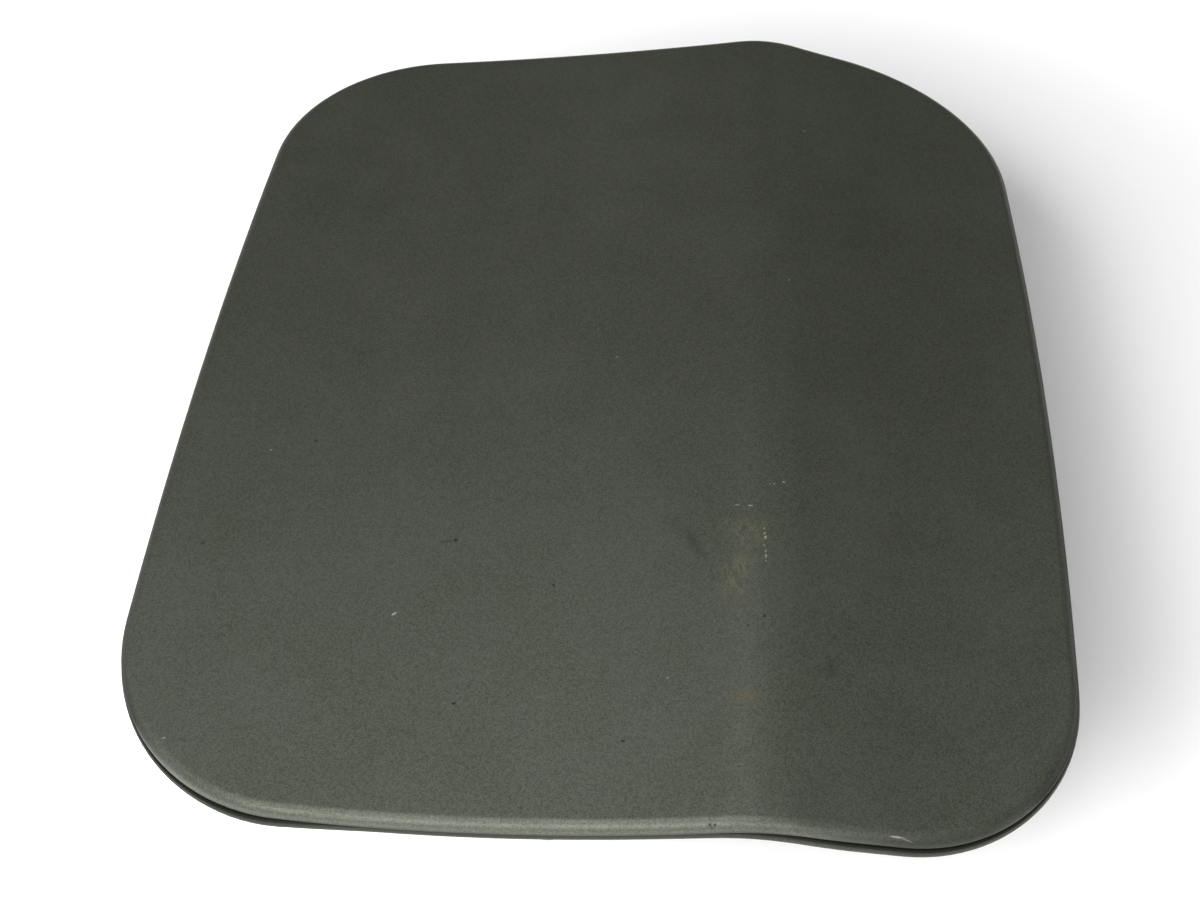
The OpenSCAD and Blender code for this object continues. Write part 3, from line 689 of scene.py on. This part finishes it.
    def _flake(self, kit: NodeKit, where: Socket) -> tuple[Socket, Socket, Socket]:
        """The clean paint's colour, roughness and normal.

        Args:
            kit: the paint's node kit.
            where: the object coordinates.

        Returns:
            The three sockets.
        """
        flake = kit.node("ShaderNodeTexVoronoi", {"Vector": where, "Scale": self.flake_scale})
        shades = kit.node("ShaderNodeSeparateColor", {0: flake.outputs["Color"]})
        light, warm, green = shades.outputs
        base = kit.mix(kit.remap(light, 0.0, 1.0, 0.0, 0.75), self.deep, self.bright)
        base = kit.mix(kit.remap(warm, 0.55, 1.0, 0.0, 0.34), base, self.warm_flake)
        base = kit.mix(kit.remap(green, 0.6, 1.0, 0.0, 0.30), base, self.green_flake)
        cloud = kit.noise(where, self.cloud_scale, 2.0, 0.55)
        base = kit.mix(kit.remap(cloud, 0.35, 0.7, 0.0, 0.09), base, self.clouded)
        patches = kit.noise(where, self.patch_scale, 2.0, 0.6)
        rough = kit.remap(patches, 0.3, 0.7, self.roughness - 0.03, self.roughness + 0.05)
        peel = kit.noise(where, self.peel_scale, 1.0, 0.45)
        normal = kit.bump(flake.outputs["Distance"], 0.10, 0.00006)
        return base, rough, kit.bump(peel, 0.05, 0.0002, normal)

    def material(self, name: str, marked_and_shaded: bool = True) -> Material:
        """Builds the paint.

        Args:
            name: the material's name.
            marked_and_shaded: whether the marks, the seam's dirt and painted shade, and the
                painted light are on it.

        Returns:
            The material.
        """
        mat, kit, shader, where = new_material(name)
        base, rough, normal = self._flake(kit, where)
        coat, metal = self.coat, self.metallic
        if marked_and_shaded:
            masks = self._mark_masks(kit, where)
            along = kit.vector("MULTIPLY", where, (1.0, 0.35, 1.0))
            fine = kit.noise(along, self.scuff_scale, 3.0, 0.7)
            broken = {MarkKind.SCUFF: (0.44, 0.62), MarkKind.RUST: (0.3, 0.7, 0.3, 1.0)}
            for kind, ends in broken.items():
                masks[kind] = kit.math("MULTIPLY", masks[kind], kit.remap(fine, *ends))
            for kind, colour in self.mark_colours:
                base = kit.mix(masks[kind], base, colour)
            # Painted light: the colour is scaled lighter toward the latch end, darker left of the
            # crease and lighter right of it.
            painted_light = self._painted_light(kit, where)
            scaled = kit.node("ShaderNodeVectorMath", {0: base, "Scale": painted_light}, operation="SCALE")
            # The seam mask brings dirt and painted shade: a near-black colour, rougher, fully
            # metallic and without coat, darkening the seam, hem, lip and the shoulder where it
            # turns from the latch side.
            seam = kit.node("ShaderNodeAttribute", attribute_name="seam").outputs["Fac"]
            base = kit.mix(seam, scaled.outputs[0], self.grime_and_shade)
            scuff = masks[MarkKind.SCUFF]
            for mask, amount in ((seam, self.grime_and_shade_roughness), (scuff, self.scuff_roughness)):
                rough = kit.math("ADD", rough, kit.math("MULTIPLY", mask, amount), clamp=True)
            coat = kit.math("MULTIPLY", kit.math("SUBTRACT", 1.0, seam), self.coat)
            metal = kit.remap(seam, 0.0, 1.0, self.metallic, 1.0, "LINEAR")
        kit.feed(shader, {"Base Color": base, "Roughness": rough, "Metallic": metal})
        kit.feed(shader, {"Normal": normal, "Coat Weight": coat})
        kit.feed(shader, {"Coat Roughness": self.coat_roughness})
        return mat


@dataclass(frozen=True)
class ZincPlate:
    """Satin zinc plate with rolled grain, faint blooms and handling dirt."""

    base: Colour = (0.60, 0.60, 0.56, 1.0)
    bloom: Colour = (0.70, 0.66, 0.52, 1.0)
    dirt: Colour = (0.16, 0.13, 0.09, 1.0)
    dull: Colour = grey(0.36)
    grain_scale: float = 2600.0
    cloud_scale: float = 95.0
    spot_scale: float = 420.0

    def material(self, name: str) -> Material:
        """Builds the plate's material.

        Args:
            name: the material's name.

        Returns:
            The material.
        """
        mat, kit, shader, where = new_material(name)
        rolled = kit.vector("MULTIPLY", where, (1.0, 0.06, 1.0))
        grain = kit.noise(rolled, self.grain_scale, 3.0, 0.6)
        cloud = kit.noise(where, self.cloud_scale, 4.0, 0.6)
        spots = kit.noise(where, self.spot_scale, 5.0, 0.7)
        base = kit.mix(kit.remap(cloud, 0.42, 0.68, 0.0, 0.65), self.base, self.bloom)
        base = kit.mix(kit.remap(grain, 0.35, 0.65, 0.0, 0.18), base, self.dull)
        base = kit.mix(kit.remap(spots, 0.60, 0.74, 0.0, 0.55), base, self.dirt)
        rough = kit.remap(cloud, 0.3, 0.7, 0.30, 0.48)
        normal = kit.bump(grain, 0.12, 0.00005)
        kit.feed(shader, {"Base Color": base, "Roughness": rough})
        kit.feed(shader, {"Normal": normal, "Metallic": 1.0})
        return mat


@dataclass(frozen=True)
class Moulded:
    """A plain moulded or coated finish with its own grain, dust and sheen."""

    base: Colour
    dust: Colour
    roughness: float
    grain_scale: float
    grain_depth: float
    dust_amount: float = 0.35
    metallic: float = 0.0
    cloud_scale: float = 130.0

    def material(self, name: str) -> Material:
        """Builds the finish.

        Args:
            name: the material's name.

        Returns:
            The material.
        """
        mat, kit, shader, where = new_material(name)
        grain = kit.noise(where, self.grain_scale, 4.0, 0.6)
        cloud = kit.noise(where, self.cloud_scale, 4.0, 0.62)
        base = kit.mix(kit.remap(cloud, 0.42, 0.72, 0.0, self.dust_amount), self.base, self.dust)
        base = kit.mix(kit.remap(grain, 0.3, 0.7, 0.0, 0.16), base, self.dust)
        rough = kit.remap(cloud, 0.3, 0.7, self.roughness - 0.06, self.roughness + 0.08)
        normal = kit.bump(grain, 0.35, self.grain_depth)
        kit.feed(shader, {"Base Color": base, "Roughness": rough, "Normal": normal})
        kit.feed(shader, {"Metallic": self.metallic})
        return mat


FINISHES: dict[Slot, ZincPlate | Moulded] = {
    Slot.SEALER: Moulded((0.085, 0.093, 0.070, 1.0), (0.15, 0.15, 0.12, 1.0), 0.60, 700.0, 0.0002),
    Slot.MASTIC: Moulded((0.105, 0.095, 0.075, 1.0), (0.20, 0.18, 0.15, 1.0), 0.85, 900.0, 0.0003),
    Slot.ZINC: ZincPlate(),
    Slot.SPRING: Moulded(
        (0.05, 0.05, 0.054, 1.0), (0.16, 0.14, 0.12, 1.0), 0.34, 2400.0, 0.00002, 0.25, 1.0
    ),
    Slot.RUBBER: Moulded(grey(0.018), (0.075, 0.070, 0.062, 1.0), 0.62, 1900.0, 0.00005),
    Slot.NYLON: Moulded((0.66, 0.64, 0.56, 1.0), (0.36, 0.33, 0.26, 1.0), 0.45, 1600.0, 0.00003),
    Slot.PLASTIC: Moulded(
        (0.024, 0.024, 0.026, 1.0), (0.085, 0.082, 0.076, 1.0), 0.50, 3400.0, 0.00006
    ),
}


# Pieces


@dataclass
class OuterSkin:
    """The painted outer skin: face, rolled shoulder, seam, folded hem and return flange."""

    shape: LidShape = field(default_factory=LidShape)
    rows: int = 44
    inner_rows: int = 6
    shoulder_steps: int = 14
    fold_steps: int = 12
    shoulder_turn: float = 78.0
    fold_start: float = 52.0
    fold_shade: float = 0.5
    seam_depth: float = 0.5
    seam_mouth: float = 0.34
    seam_least: float = 0.3
    wall_ease: float = 1.5
    # The rim's darkening: painted shade on the shoulder where it turns from the latch side, a
    # little painted shade dimming its highlight all round, and dirt with painted shade on its
    # steep part, lip, seam groove and hem.
    side_shade_ramp: tuple[float, float] = (18.0, 40.0)
    highlight_dim_ramp: tuple[float, float] = (12.0, 20.0)
    steep_dirt_shade_ramp: tuple[float, float] = (66.0, 34.0)
    # Painted shade that dims the shoulder's highlight all round.
    dust: float = 0.12
    lip_dirt_and_shade: float = 0.65
    mouth_dirt_and_shade: float = 0.9
    groove_dirt_and_shade: float = 0.95
    hem_dirt_and_shade: float = 0.64
    side_shade: float = 0.9

    def _section(self, proud: Array) -> list[tuple[Array, Array, float, float]]:
        """Section of the rim, for every outline row.

        Args:
            proud: how far the hem stands proud, one value per outline row.

        Returns:
            Each ring's inset, drop, darkening by dirt and painted shade, and painted shade where
            the rim turns from the latch side.
        """
        s = self.shape
        one = np.ones_like(proud)
        rings: list[tuple[Array, Array, float, float]] = []

        def add(inset: Amount, drop: Amount, dirt: float = 0.0, turned_shade: float = 0.0) -> None:
            """Adds a ring."""
            rings.append((inset * one, drop * one, dirt, turned_shade))

        # Shoulder rings: painted shade where the rim turns from the latch side, a little painted
        # shade dimming the highlight all round, and dirt with painted shade on the steep part.
        for a in rounded_arc(0, self.shoulder_turn, self.shoulder_steps):
            turned_shade, dust, dirt = (
                (math.degrees(a) - first) / over
                for first, over in (self.side_shade_ramp, self.highlight_dim_ramp, self.steep_dirt_shade_ramp)
            )
            turned_shade = self.side_shade * min(1.0, max(0.0, turned_shade))
            dirt = max(self.dust * min(1.0, max(0.0, dust)), dirt)
            add(s.shoulder_r * (1 - math.sin(a)), s.shoulder_r * (1 - math.cos(a)), dirt, turned_shade)
        # Lip, seam groove and hem: dirt and painted shade darken them.
        lip = s.shoulder_r
        add(0.0, lip - 0.18, self.lip_dirt_and_shade, self.side_shade)
        add(0.03, lip - 0.02, self.mouth_dirt_and_shade, self.mouth_dirt_and_shade)
        add(0.12, lip + 0.06, self.groove_dirt_and_shade)
        bottom = np.maximum(self.seam_depth - proud / 2, self.seam_least)
        add(bottom, lip + 0.10, self.groove_dirt_and_shade)
        add(bottom, lip + self.seam_mouth - 0.06, self.groove_dirt_and_shade)
        fold = s.hem_r - proud
        a = math.radians(self.fold_start)
        turned, raised = fold - s.hem_r * math.cos(a), s.hem_mid - s.hem_r * math.sin(a)
        add(turned + 0.10, raised - 0.03, self.groove_dirt_and_shade)
        # Hem fold: dirt and painted shade, darker on its upper part.
        for a in rounded_arc(self.fold_start, -90, self.fold_steps):
            dirt = self.mouth_dirt_and_shade if a > self.fold_shade else self.hem_dirt_and_shade
            add(fold - s.hem_r * math.cos(a), s.hem_mid - s.hem_r * math.sin(a), dirt)
        add(fold + 1.0, s.hem_low)
        wall = s.skin_t + self.wall_ease * np.maximum(0, -proud)
        add(s.hem_w - 0.15, s.hem_low)
        add(s.hem_w, s.hem_low - 0.2)
        add(s.hem_w, s.hem_low - s.skin_t)
        add(fold, s.hem_low - s.skin_t)
        add(fold - 0.4, s.hem_mid)
        add(wall, s.hem_mid - 0.5)
        add(wall, s.shoulder_r)
        for a in rounded_arc(60, 0, 2):
            inset = s.shoulder_r - (s.shoulder_r - wall) * math.sin(a)
            add(inset, s.shoulder_r - (s.shoulder_r - s.skin_t) * math.cos(a))
        return rings

    @staticmethod
    def _hem_swell(rows: Array) -> Array:
        """How much more the hem stands proud on the latch side.

        Args:
            rows: outline rows.

        Returns:
            The distances, one per row.
        """
        x, facing = rows[:, 0], np.clip(-rows[:, 3], 0, 1) ** 2
        right, left = np.exp(-(((x - 32.0) / 12.0) ** 2)), np.clip(-x / 50.0, 0, 1)
        return facing * (0.18 + 0.3 * right + 0.1 * left)

    @staticmethod
    def _turned_away(rows: Array) -> Array:
        """Where painted shade darkens the rim: 1 where it faces a side or the hinge end, 0 on the
        latch side's left, rising to 0.75 across the crease on the latch side.

        Args:
            rows: outline rows.

        Returns:
            The values, one per row.
        """
        x = rows[:, 0]
        away = np.clip((np.where(x < 0, 0.86, 0.97) + rows[:, 3]) / 0.3, 0, 1)
        return np.maximum(away, 0.75 * np.clip((x - 19.0) / 24.0, 0, 1))

    def build(self, paint: Material) -> Object:
        """Builds the skin as one closed mesh.

        Args:
            paint: the lid's paint.

        Returns:
            The piece, riding on the lid.
        """
        s = self.shape
        rows = s.outline()
        away = self._turned_away(rows)
        section = self._section(s.ledge(rows[:, 0]) + self._hem_swell(rows))
        points = np.vstack([s.rim(rows, inset, drop) for inset, drop, _, _ in section])
        # seam mask: dirt and painted shade at the lip, seam and hem, and painted shade on the rim
        # where it turns from the latch side
        seam = np.concatenate([np.maximum(dirt, turned_shade * away) for _, _, dirt, turned_shade in section])
        faces = ring_faces(len(section), len(rows))
        for drop, steps, way in ((0.0, self.rows, 1), (s.skin_t, self.inner_rows, -1)):
            grid, quads = s.field_grid(s.shoulder_r, drop, steps)
            base = len(points)
            points = np.vstack([points, grid])
            seam = np.concatenate([seam, np.zeros(len(grid))])
            faces += [tuple(base + i for i in q[::way]) for q in quads]
        obj = mesh_piece("lid_outer_skin", points * MM, faces, {"seam": seam}, 2e-6)
        obj.data.materials.append(paint)
        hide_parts("outer_skin")
        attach(obj, Rides.LID.value)
        return obj


@dataclass
class InnerPanel:
    """The stamped inner panel: hemmed-in flange, eased step, floor with beads and holes."""

    shape: LidShape = field(default_factory=LidShape)
    flange_edge: float = 1.33
    flange_middle: float = 7.0
    flange_w: float = 12.0
    step_w: float = 5.0
    bead_d: float = 1.6
    bead_w: float = 9.0
    bead_run: float = 2.6
    step_rings: int = 14
    rows: int = 150
    hole_steps: int = 40
    cutter_depth: float = 12.0
    sharp_angle: float = 40.0
    beads: tuple[tuple[float, float, float, float], ...] = (
        (-31.0, -44.0, 31.0, -44.0),
        (-47.0, -29.5, -47.0, 28.5),
        (47.0, -29.5, 47.0, 28.5),
    )
    holes: tuple[tuple[float, float, float], ...] = (
        (-12.0, 52.0, 3.4), (12.0, 52.0, 3.4), (-48.0, -58.7, 3.4), (48.0, -58.7, 3.4),
        (-28.0, 36.5, 7.0), (28.0, 36.5, 7.0), (-34.5, -8.0, 2.2), (-25.5, -8.0, 2.2),
        (-14.91, -59.36, 1.6), (-7.89, -59.36, 1.6), (-23.5, -26.0, 3.0), (23.5, -26.0, 3.0),
        (0.0, 38.0, 3.0),
    )

    def _bead_drop(self, x: Array, y: Array) -> Array:
        """How far the beads press the floor down at places on it.

        Args:
            x: places across.
            y: places along.

        Returns:
            The distances.
        """
        drop = np.zeros_like(x)
        for x0, y0, x1, y1 in self.beads:
            along = np.array([x1 - x0, y1 - y0])
            t = np.clip(((x - x0) * along[0] + (y - y0) * along[1]) / (along @ along), 0, 1)
            away = np.hypot(x - x0 - t * along[0], y - y0 - t * along[1])
            s = np.clip((self.bead_w / 2 - away) / self.bead_run, 0, 1)
            drop = np.maximum(drop, self.bead_d * s * s * (3 - 2 * s))
        return drop

    def build(self, paint: Material) -> Object:
        """Builds the panel as one sheet with thickness, and cuts its holes.

        Args:
            paint: the paint on the panel.

        Returns:
            The piece, riding on the lid.
        """
        s = self.shape
        rows = s.outline()
        flange = (self.flange_edge, self.flange_middle)
        rings = [s.rim(rows, inset, s.flange_low) for inset in flange]
        for t in np.linspace(0, 1, self.step_rings):
            ring = s.rim(rows, self.flange_w + self.step_w * t, s.flange_low)
            e = t * t * (3 - 2 * t)
            ring[:, 2] = ring[:, 2] * (1 - e) + s.panel_h * e
            rings.append(ring)
        points = np.vstack(rings)
        faces = ring_faces(len(rings), len(rows))
        grid, quads = s.field_grid(self.flange_w + self.step_w, 0.0, self.rows)
        grid[:, 2] = s.panel_h - self._bead_drop(grid[:, 0], grid[:, 1])
        base = len(points)
        points = np.vstack([points, grid])
        faces += [tuple(base + i for i in q) for q in quads]
        obj = mesh_piece("lid_inner_panel", points * MM, faces, merge=2e-6)
        if obj.data.polygons[-1].normal.z > 0:
            obj.data.flip_normals()
        solid = obj.modifiers.new("sheet", "SOLIDIFY")
        solid.thickness = s.panel_t * MM
        solid.offset = -1.0
        self._cut_holes(obj)
        obj.data.materials.append(paint)
        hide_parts("inner_panel")
        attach(obj, Rides.LID.value)
        return obj

    def _cut_holes(self, obj: Object) -> None:
        """Cuts the round holes, and leaves the piece with no modifiers.

        Args:
            obj: the panel.
        """
        bm = bmesh.new()
        form = {"cap_ends": True, "segments": self.hole_steps, "depth": self.cutter_depth * MM}
        for x, y, r in self.holes:
            place = Matrix.Translation(Vector((x, y, self.shape.panel_h)) * MM)
            bmesh.ops.create_cone(bm, radius1=r * MM, radius2=r * MM, matrix=place, **form)
        mesh = bpy.data.meshes.new("hole_cutter")
        bm.to_mesh(mesh)
        bm.free()
        cutter = bpy.data.objects.new("hole_cutter", mesh)
        bpy.context.scene.collection.objects.link(cutter)
        cut = obj.modifiers.new("holes", "BOOLEAN")
        cut.operation = "DIFFERENCE"
        cut.solver = "EXACT"
        cut.object = cutter
        bpy.context.view_layer.update()
        graph = bpy.context.evaluated_depsgraph_get()
        done = bpy.data.meshes.new_from_object(obj.evaluated_get(graph))
        obj.modifiers.clear()
        obj.data = done
        done.name = obj.name
        sharpen(obj, self.sharp_angle)
        bpy.data.objects.remove(cutter)


@dataclass
class HemSealer:
    """A hand-laid bead of sealer over the raw edge of the hem."""

    shape: LidShape = field(default_factory=LidShape)
    width: float = 3.4
    lap: float = 1.0
    crown: float = 0.42
    waver: float = 0.3
    sunk: float = 0.1
    clear: float = 0.05
    steps: int = 10
    seed: int = 7

    def build(self, finish: Material) -> Object:
        """Builds the bead, a little uneven along its way.

        Args:
            finish: the painted sealer.

        Returns:
            The piece, riding on the lid.
        """
        s = self.shape
        rows = s.outline()
        n = len(rows)
        rng = np.random.default_rng(self.seed)
        turn = np.linspace(0, 2 * math.pi, n, endpoint=False)
        wave = sum(
            rng.uniform(0.3, 1.0) / (1 + 0.12 * k) * np.sin(k * turn + rng.uniform(0, 6.3))
            for k in range(3, 46)
        )
        wave = wave / np.abs(wave).max()
        inner = s.hem_w - self.lap + 0.3 * self.waver * wave
        outer = s.hem_w + self.width - self.lap + self.waver * np.roll(wave, n // 3)
        rings = []
        for t in np.linspace(0, 1, self.steps):
            inset = inner + (outer - inner) * t
            ease = np.clip((inset - s.hem_w + 0.5) / 1.6, 0, 1)
            step = s.hem_low * (1 - ease) + s.flange_low * ease
            rest = np.where(inset < s.hem_w, s.hem_low, step)
            bulge = self.crown * max(0.0, math.sin(math.pi * t)) ** 0.7 * (1 + 0.25 * wave)
            rings.append(s.rim(rows, inset, rest + bulge + 0.01))
        flange, hem = s.flange_low - self.clear, s.hem_low - self.sunk
        edge = s.hem_w + self.sunk
        back = ((outer - 0.3, flange), (edge, flange), (edge, hem), (inner + self.sunk, hem))
        rings += [s.rim(rows, inset, drop) for inset, drop in back]
        points = np.vstack(rings)
        obj = mesh_piece("lid_hem_sealer", points * MM, ring_faces(len(rings), n, True))
        obj.data.materials.append(finish)
        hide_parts("hem_sealer")
        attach(obj, Rides.LID.value)
        return obj


@dataclass
class CarriedNodes:
    """CAD nodes that stay as they are and get their finish, the hard ones with softened edges."""

    finishes: dict[Slot, Material]
    soften: float = 0.15
    soft_steps: int = 2
    soft_angle: float = 38.0
    join: float = 2e-6
    hard: tuple[Slot, ...] = (Slot.ZINC, Slot.SPRING, Slot.PLASTIC, Slot.NYLON, Slot.PAINT)
    replaced: tuple[str, ...] = ("outer_skin", "inner_panel")

    def _soften(self, obj: Object) -> None:
        """Joins a node's split vertices and rounds its edges.

        Args:
            obj: the node.
        """
        weld = obj.modifiers.new("join", "WELD")
        weld.merge_threshold = self.join
        bevel = obj.modifiers.new("soft_edges", "BEVEL")
        bevel.width = self.soften * MM
        bevel.segments = self.soft_steps
        bevel.limit_method = "ANGLE"
        bevel.angle_limit = math.radians(self.soft_angle)

    def dress(self) -> None:
        """Gives every node its slot's material and softens the hard ones."""
        slots = {row["node"]: Slot(row["material_slot"]) for row in frame["record"]["subparts"]}
        for name, obj in frame["nodes"].items():
            if slots[name] in self.hard and name not in self.replaced:
                self._soften(obj)
            mat = self.finishes[slots[name]]
            if obj.material_slots:
                for held in obj.material_slots:
                    held.material = mat
            else:
                obj.data.materials.append(mat)
            LOG.info("node %s has finish %s", name, mat.name)


# Studio


@dataclass(frozen=True)
class SoftBox:
    """A soft rectangular lamp that faces the lid."""

    name: str
    place: tuple[float, float, float]
    size: tuple[float, float]
    watts: float
    shines: bool = True
    aim: tuple[float, float, float] = (0.0, 0.0, 0.0)

    def build(self) -> Object:
        """Adds the lamp, its long side as level as it can be.

        Returns:
            The lamp.
        """
        data = bpy.data.lights.new(self.name, "AREA")
        data.shape = "RECTANGLE"
        data.size, data.size_y = self.size
        data.energy = self.watts
        obj = bpy.data.objects.new(self.name, data)
        bpy.context.scene.collection.objects.link(obj)
        toward = Vector(self.aim) - Vector(self.place)
        obj.rotation_euler = toward.to_track_quat("-Z", "Y").to_euler()
        obj.location = self.place
        obj.visible_glossy = self.shines
        return obj


@dataclass(frozen=True)
class PhotoCamera:
    """The camera at the photograph's angle."""

    place: tuple[float, float, float] = (12.14, -171.83, 223.91)
    aim: tuple[float, float, float] = (-1.318, -25.314, 40.0)
    roll: float = 0.0231
    lens: float = 43.58

    def build(self) -> Object:
        """Adds the camera and makes it the scene's own.

        Returns:
            The camera.
        """
        z = (Vector(self.aim) - Vector(self.place)).normalized()
        x = z.cross(Vector((0, 0, 1))).normalized()
        y = z.cross(x)
        right = math.cos(self.roll) * x + math.sin(self.roll) * y
        down = -math.sin(self.roll) * x + math.cos(self.roll) * y
        data = bpy.data.cameras.new("photo_camera")
        data.lens = self.lens
        data.sensor_width = 36.0
        data.sensor_fit = "HORIZONTAL"
        data.clip_start = 0.01
        data.clip_end = 50.0
        obj = bpy.data.objects.new("photo_camera", data)
        turn = Matrix((right, -down, -z)).transposed().to_4x4()
        obj.matrix_world = Matrix.Translation(Vector(self.place) * MM) @ turn
        bpy.context.scene.collection.objects.link(obj)
        bpy.context.scene.camera = obj
        return obj


@dataclass(frozen=True)
class Studio:
    """Pale floor, plain world and soft lamps."""

    floor_size: float = 6.0
    floor_albedo: float = 0.84
    # Painted light on the floor: a glow for camera and reflections, faint by the lid and full
    # white farther out, reaching nearer on the latch side over the shade under the lid's near
    # edge.
    floor_lift: float = 0.05
    lift_middle: tuple[float, float, float] = (0.045, 0.03, 0.0)
    lift_reach: tuple[float, float] = (0.10, 0.245)
    near_glow_pull: float = 1.42
    paper_reach: tuple[float, float] = (0.14, 0.50)
    sky_low: float = 0.15
    sky_high: float = 0.05
    horizon: tuple[float, float] = (0.10, 0.02)
    overhead: tuple[float, float] = (0.12, 0.38)
    lamps: tuple[SoftBox, ...] = (
        SoftBox("key", (-0.98, -0.57, 0.98), (1.4, 0.82), 25.5, False),
        SoftBox("front_left", (-0.55, -1.10, 1.0), (0.8, 0.6), 5.5),
        SoftBox("front", (0.0, -0.87, 0.45), (0.96, 0.48), 4.8),
        SoftBox("top", (-0.15, -0.45, 1.45), (0.9, 0.6), 6.0),
        SoftBox("top_back", (-0.10, 0.55, 1.35), (0.6, 0.5), 1.2),
    )

    @staticmethod
    def _seen(kit: NodeKit) -> Socket:
        """1 for camera, glossy and transmission rays, 0 for the rest.

        Args:
            kit: the node kit.

        Returns:
            The value.
        """
        rays = kit.node("ShaderNodeLightPath").outputs
        seen = kit.math("MAXIMUM", rays["Is Camera Ray"], rays["Is Glossy Ray"])
        return kit.math("MAXIMUM", seen, rays["Is Transmission Ray"])

    def _floor(self) -> Object:
        """The floor: pale, with a glow for the camera and for reflections that is faint by the lid
        and full white farther out, and reaches nearer on the latch side, where it is painted light
        over the shade under the lid's near edge.

        Returns:
            The floor.
        """
        half = self.floor_size / 2
        ends = ((-1, -1, 0), (1, -1, 0), (1, 1, 0), (-1, 1, 0))
        obj = mesh_piece("studio_floor", np.array(ends, float) * half, [(0, 1, 2, 3)])
        mat = bpy.data.materials.new("floor_paper")
        mat.use_nodes = True
        tree = mat.node_tree
        tree.nodes.clear()
        kit = NodeKit(tree)
        where = kit.node("ShaderNodeTexCoord").outputs["Object"]
        away = kit.measure("DISTANCE", where, self.lift_middle)
        offset = kit.vector("SUBTRACT", where, self.lift_middle)
        forward = kit.node("ShaderNodeSeparateXYZ", {0: offset}).outputs[1]
        nearer = kit.math("GREATER_THAN", 0.0, forward)
        # Painted light: the glow reaches nearer in front of the lid, over the shade under its near
        # edge.
        pulled = kit.vector("MULTIPLY", offset, (1.0, self.near_glow_pull, 1.0))
        pulled = kit.measure("LENGTH", pulled, (0.0, 0.0, 0.0))
        plain = kit.math("MULTIPLY", away, kit.math("SUBTRACT", 1.0, nearer))
        lifted = kit.math("ADD", plain, kit.math("MULTIPLY", pulled, nearer))
        lift = kit.remap(lifted, *self.lift_reach, self.floor_lift, 1.0)
        far = kit.remap(away, *self.paper_reach)
        tone = kit.mix(far, grey(self.floor_albedo), grey(0.0))
        paper = kit.node("ShaderNodeBsdfDiffuse", {"Color": tone})
        strength = kit.math("MULTIPLY", self._seen(kit), lift)
        glow = kit.node("ShaderNodeEmission", {"Color": grey(1.0), "Strength": strength})
        both = kit.node("ShaderNodeAddShader", {0: paper.outputs[0], 1: glow.outputs[0]})
        below = kit.node("ShaderNodeNewGeometry").outputs["Backfacing"]
        clear = kit.node("ShaderNodeBsdfTransparent")
        choice = {0: below, 1: both.outputs[0], 2: clear.outputs[0]}
        shown = kit.node("ShaderNodeMixShader", choice)
        kit.node("ShaderNodeOutputMaterial", {"Surface": shown.outputs[0]})
        obj.data.materials.append(mat)
        return obj

    def _world(self) -> None:
        """A plain room: pale round the horizon and dimmer overhead and behind."""
        world = bpy.data.worlds.new("studio_room")
        world.use_nodes = True
        tree = world.node_tree
        tree.nodes.clear()
        kit = NodeKit(tree)
        toward = kit.node("ShaderNodeTexCoord").outputs["Generated"]
        parts = kit.node("ShaderNodeSeparateXYZ", {0: toward}).outputs
        band = kit.remap(parts[2], *self.horizon)
        pale = kit.math("MULTIPLY", band, self._seen(kit))
        pale = kit.math("MAXIMUM", pale, kit.node("ShaderNodeLightPath").outputs["Is Camera Ray"])
        room = kit.remap(parts[2], *self.overhead, self.sky_low, self.sky_high)
        level = kit.math("MAXIMUM", pale, room)
        shade = kit.node("ShaderNodeBackground", {"Color": grey(1.0), "Strength": level})
        kit.node("ShaderNodeOutputWorld", {"Surface": shade.outputs[0]})
        bpy.context.scene.world = world

    def build(self) -> None:
        """Sets up the room, the lamps, the camera and the view transform."""
        self._floor()
        self._world()
        for lamp in self.lamps:
            lamp.build()
        PhotoCamera().build()
        bpy.context.scene.view_settings.view_transform = "Standard"


def finish_materials() -> dict[Slot, Material]:
    """Every slot's material, by slot."""
    paint = {Slot.PAINT: CarPaint().material("panel_paint", marked_and_shaded=False)}
    return paint | {slot: look.material(slot.value) for slot, look in FINISHES.items()}


def main() -> None:
    """Builds the studio and every piece."""
    logging.basicConfig(level=logging.INFO, format="%(message)s")
    Studio().build()
    finishes = finish_materials()
    CarriedNodes(finishes).dress()
    for piece in (
        OuterSkin().build(CarPaint().material("lid_paint")),
        InnerPanel().build(finishes[Slot.PAINT]),
        HemSealer().build(finishes[Slot.SEALER]),
    ):
        LOG.info("%s has %d faces", piece.name, len(piece.data.polygons))


if __name__ == "__main__":
    main()
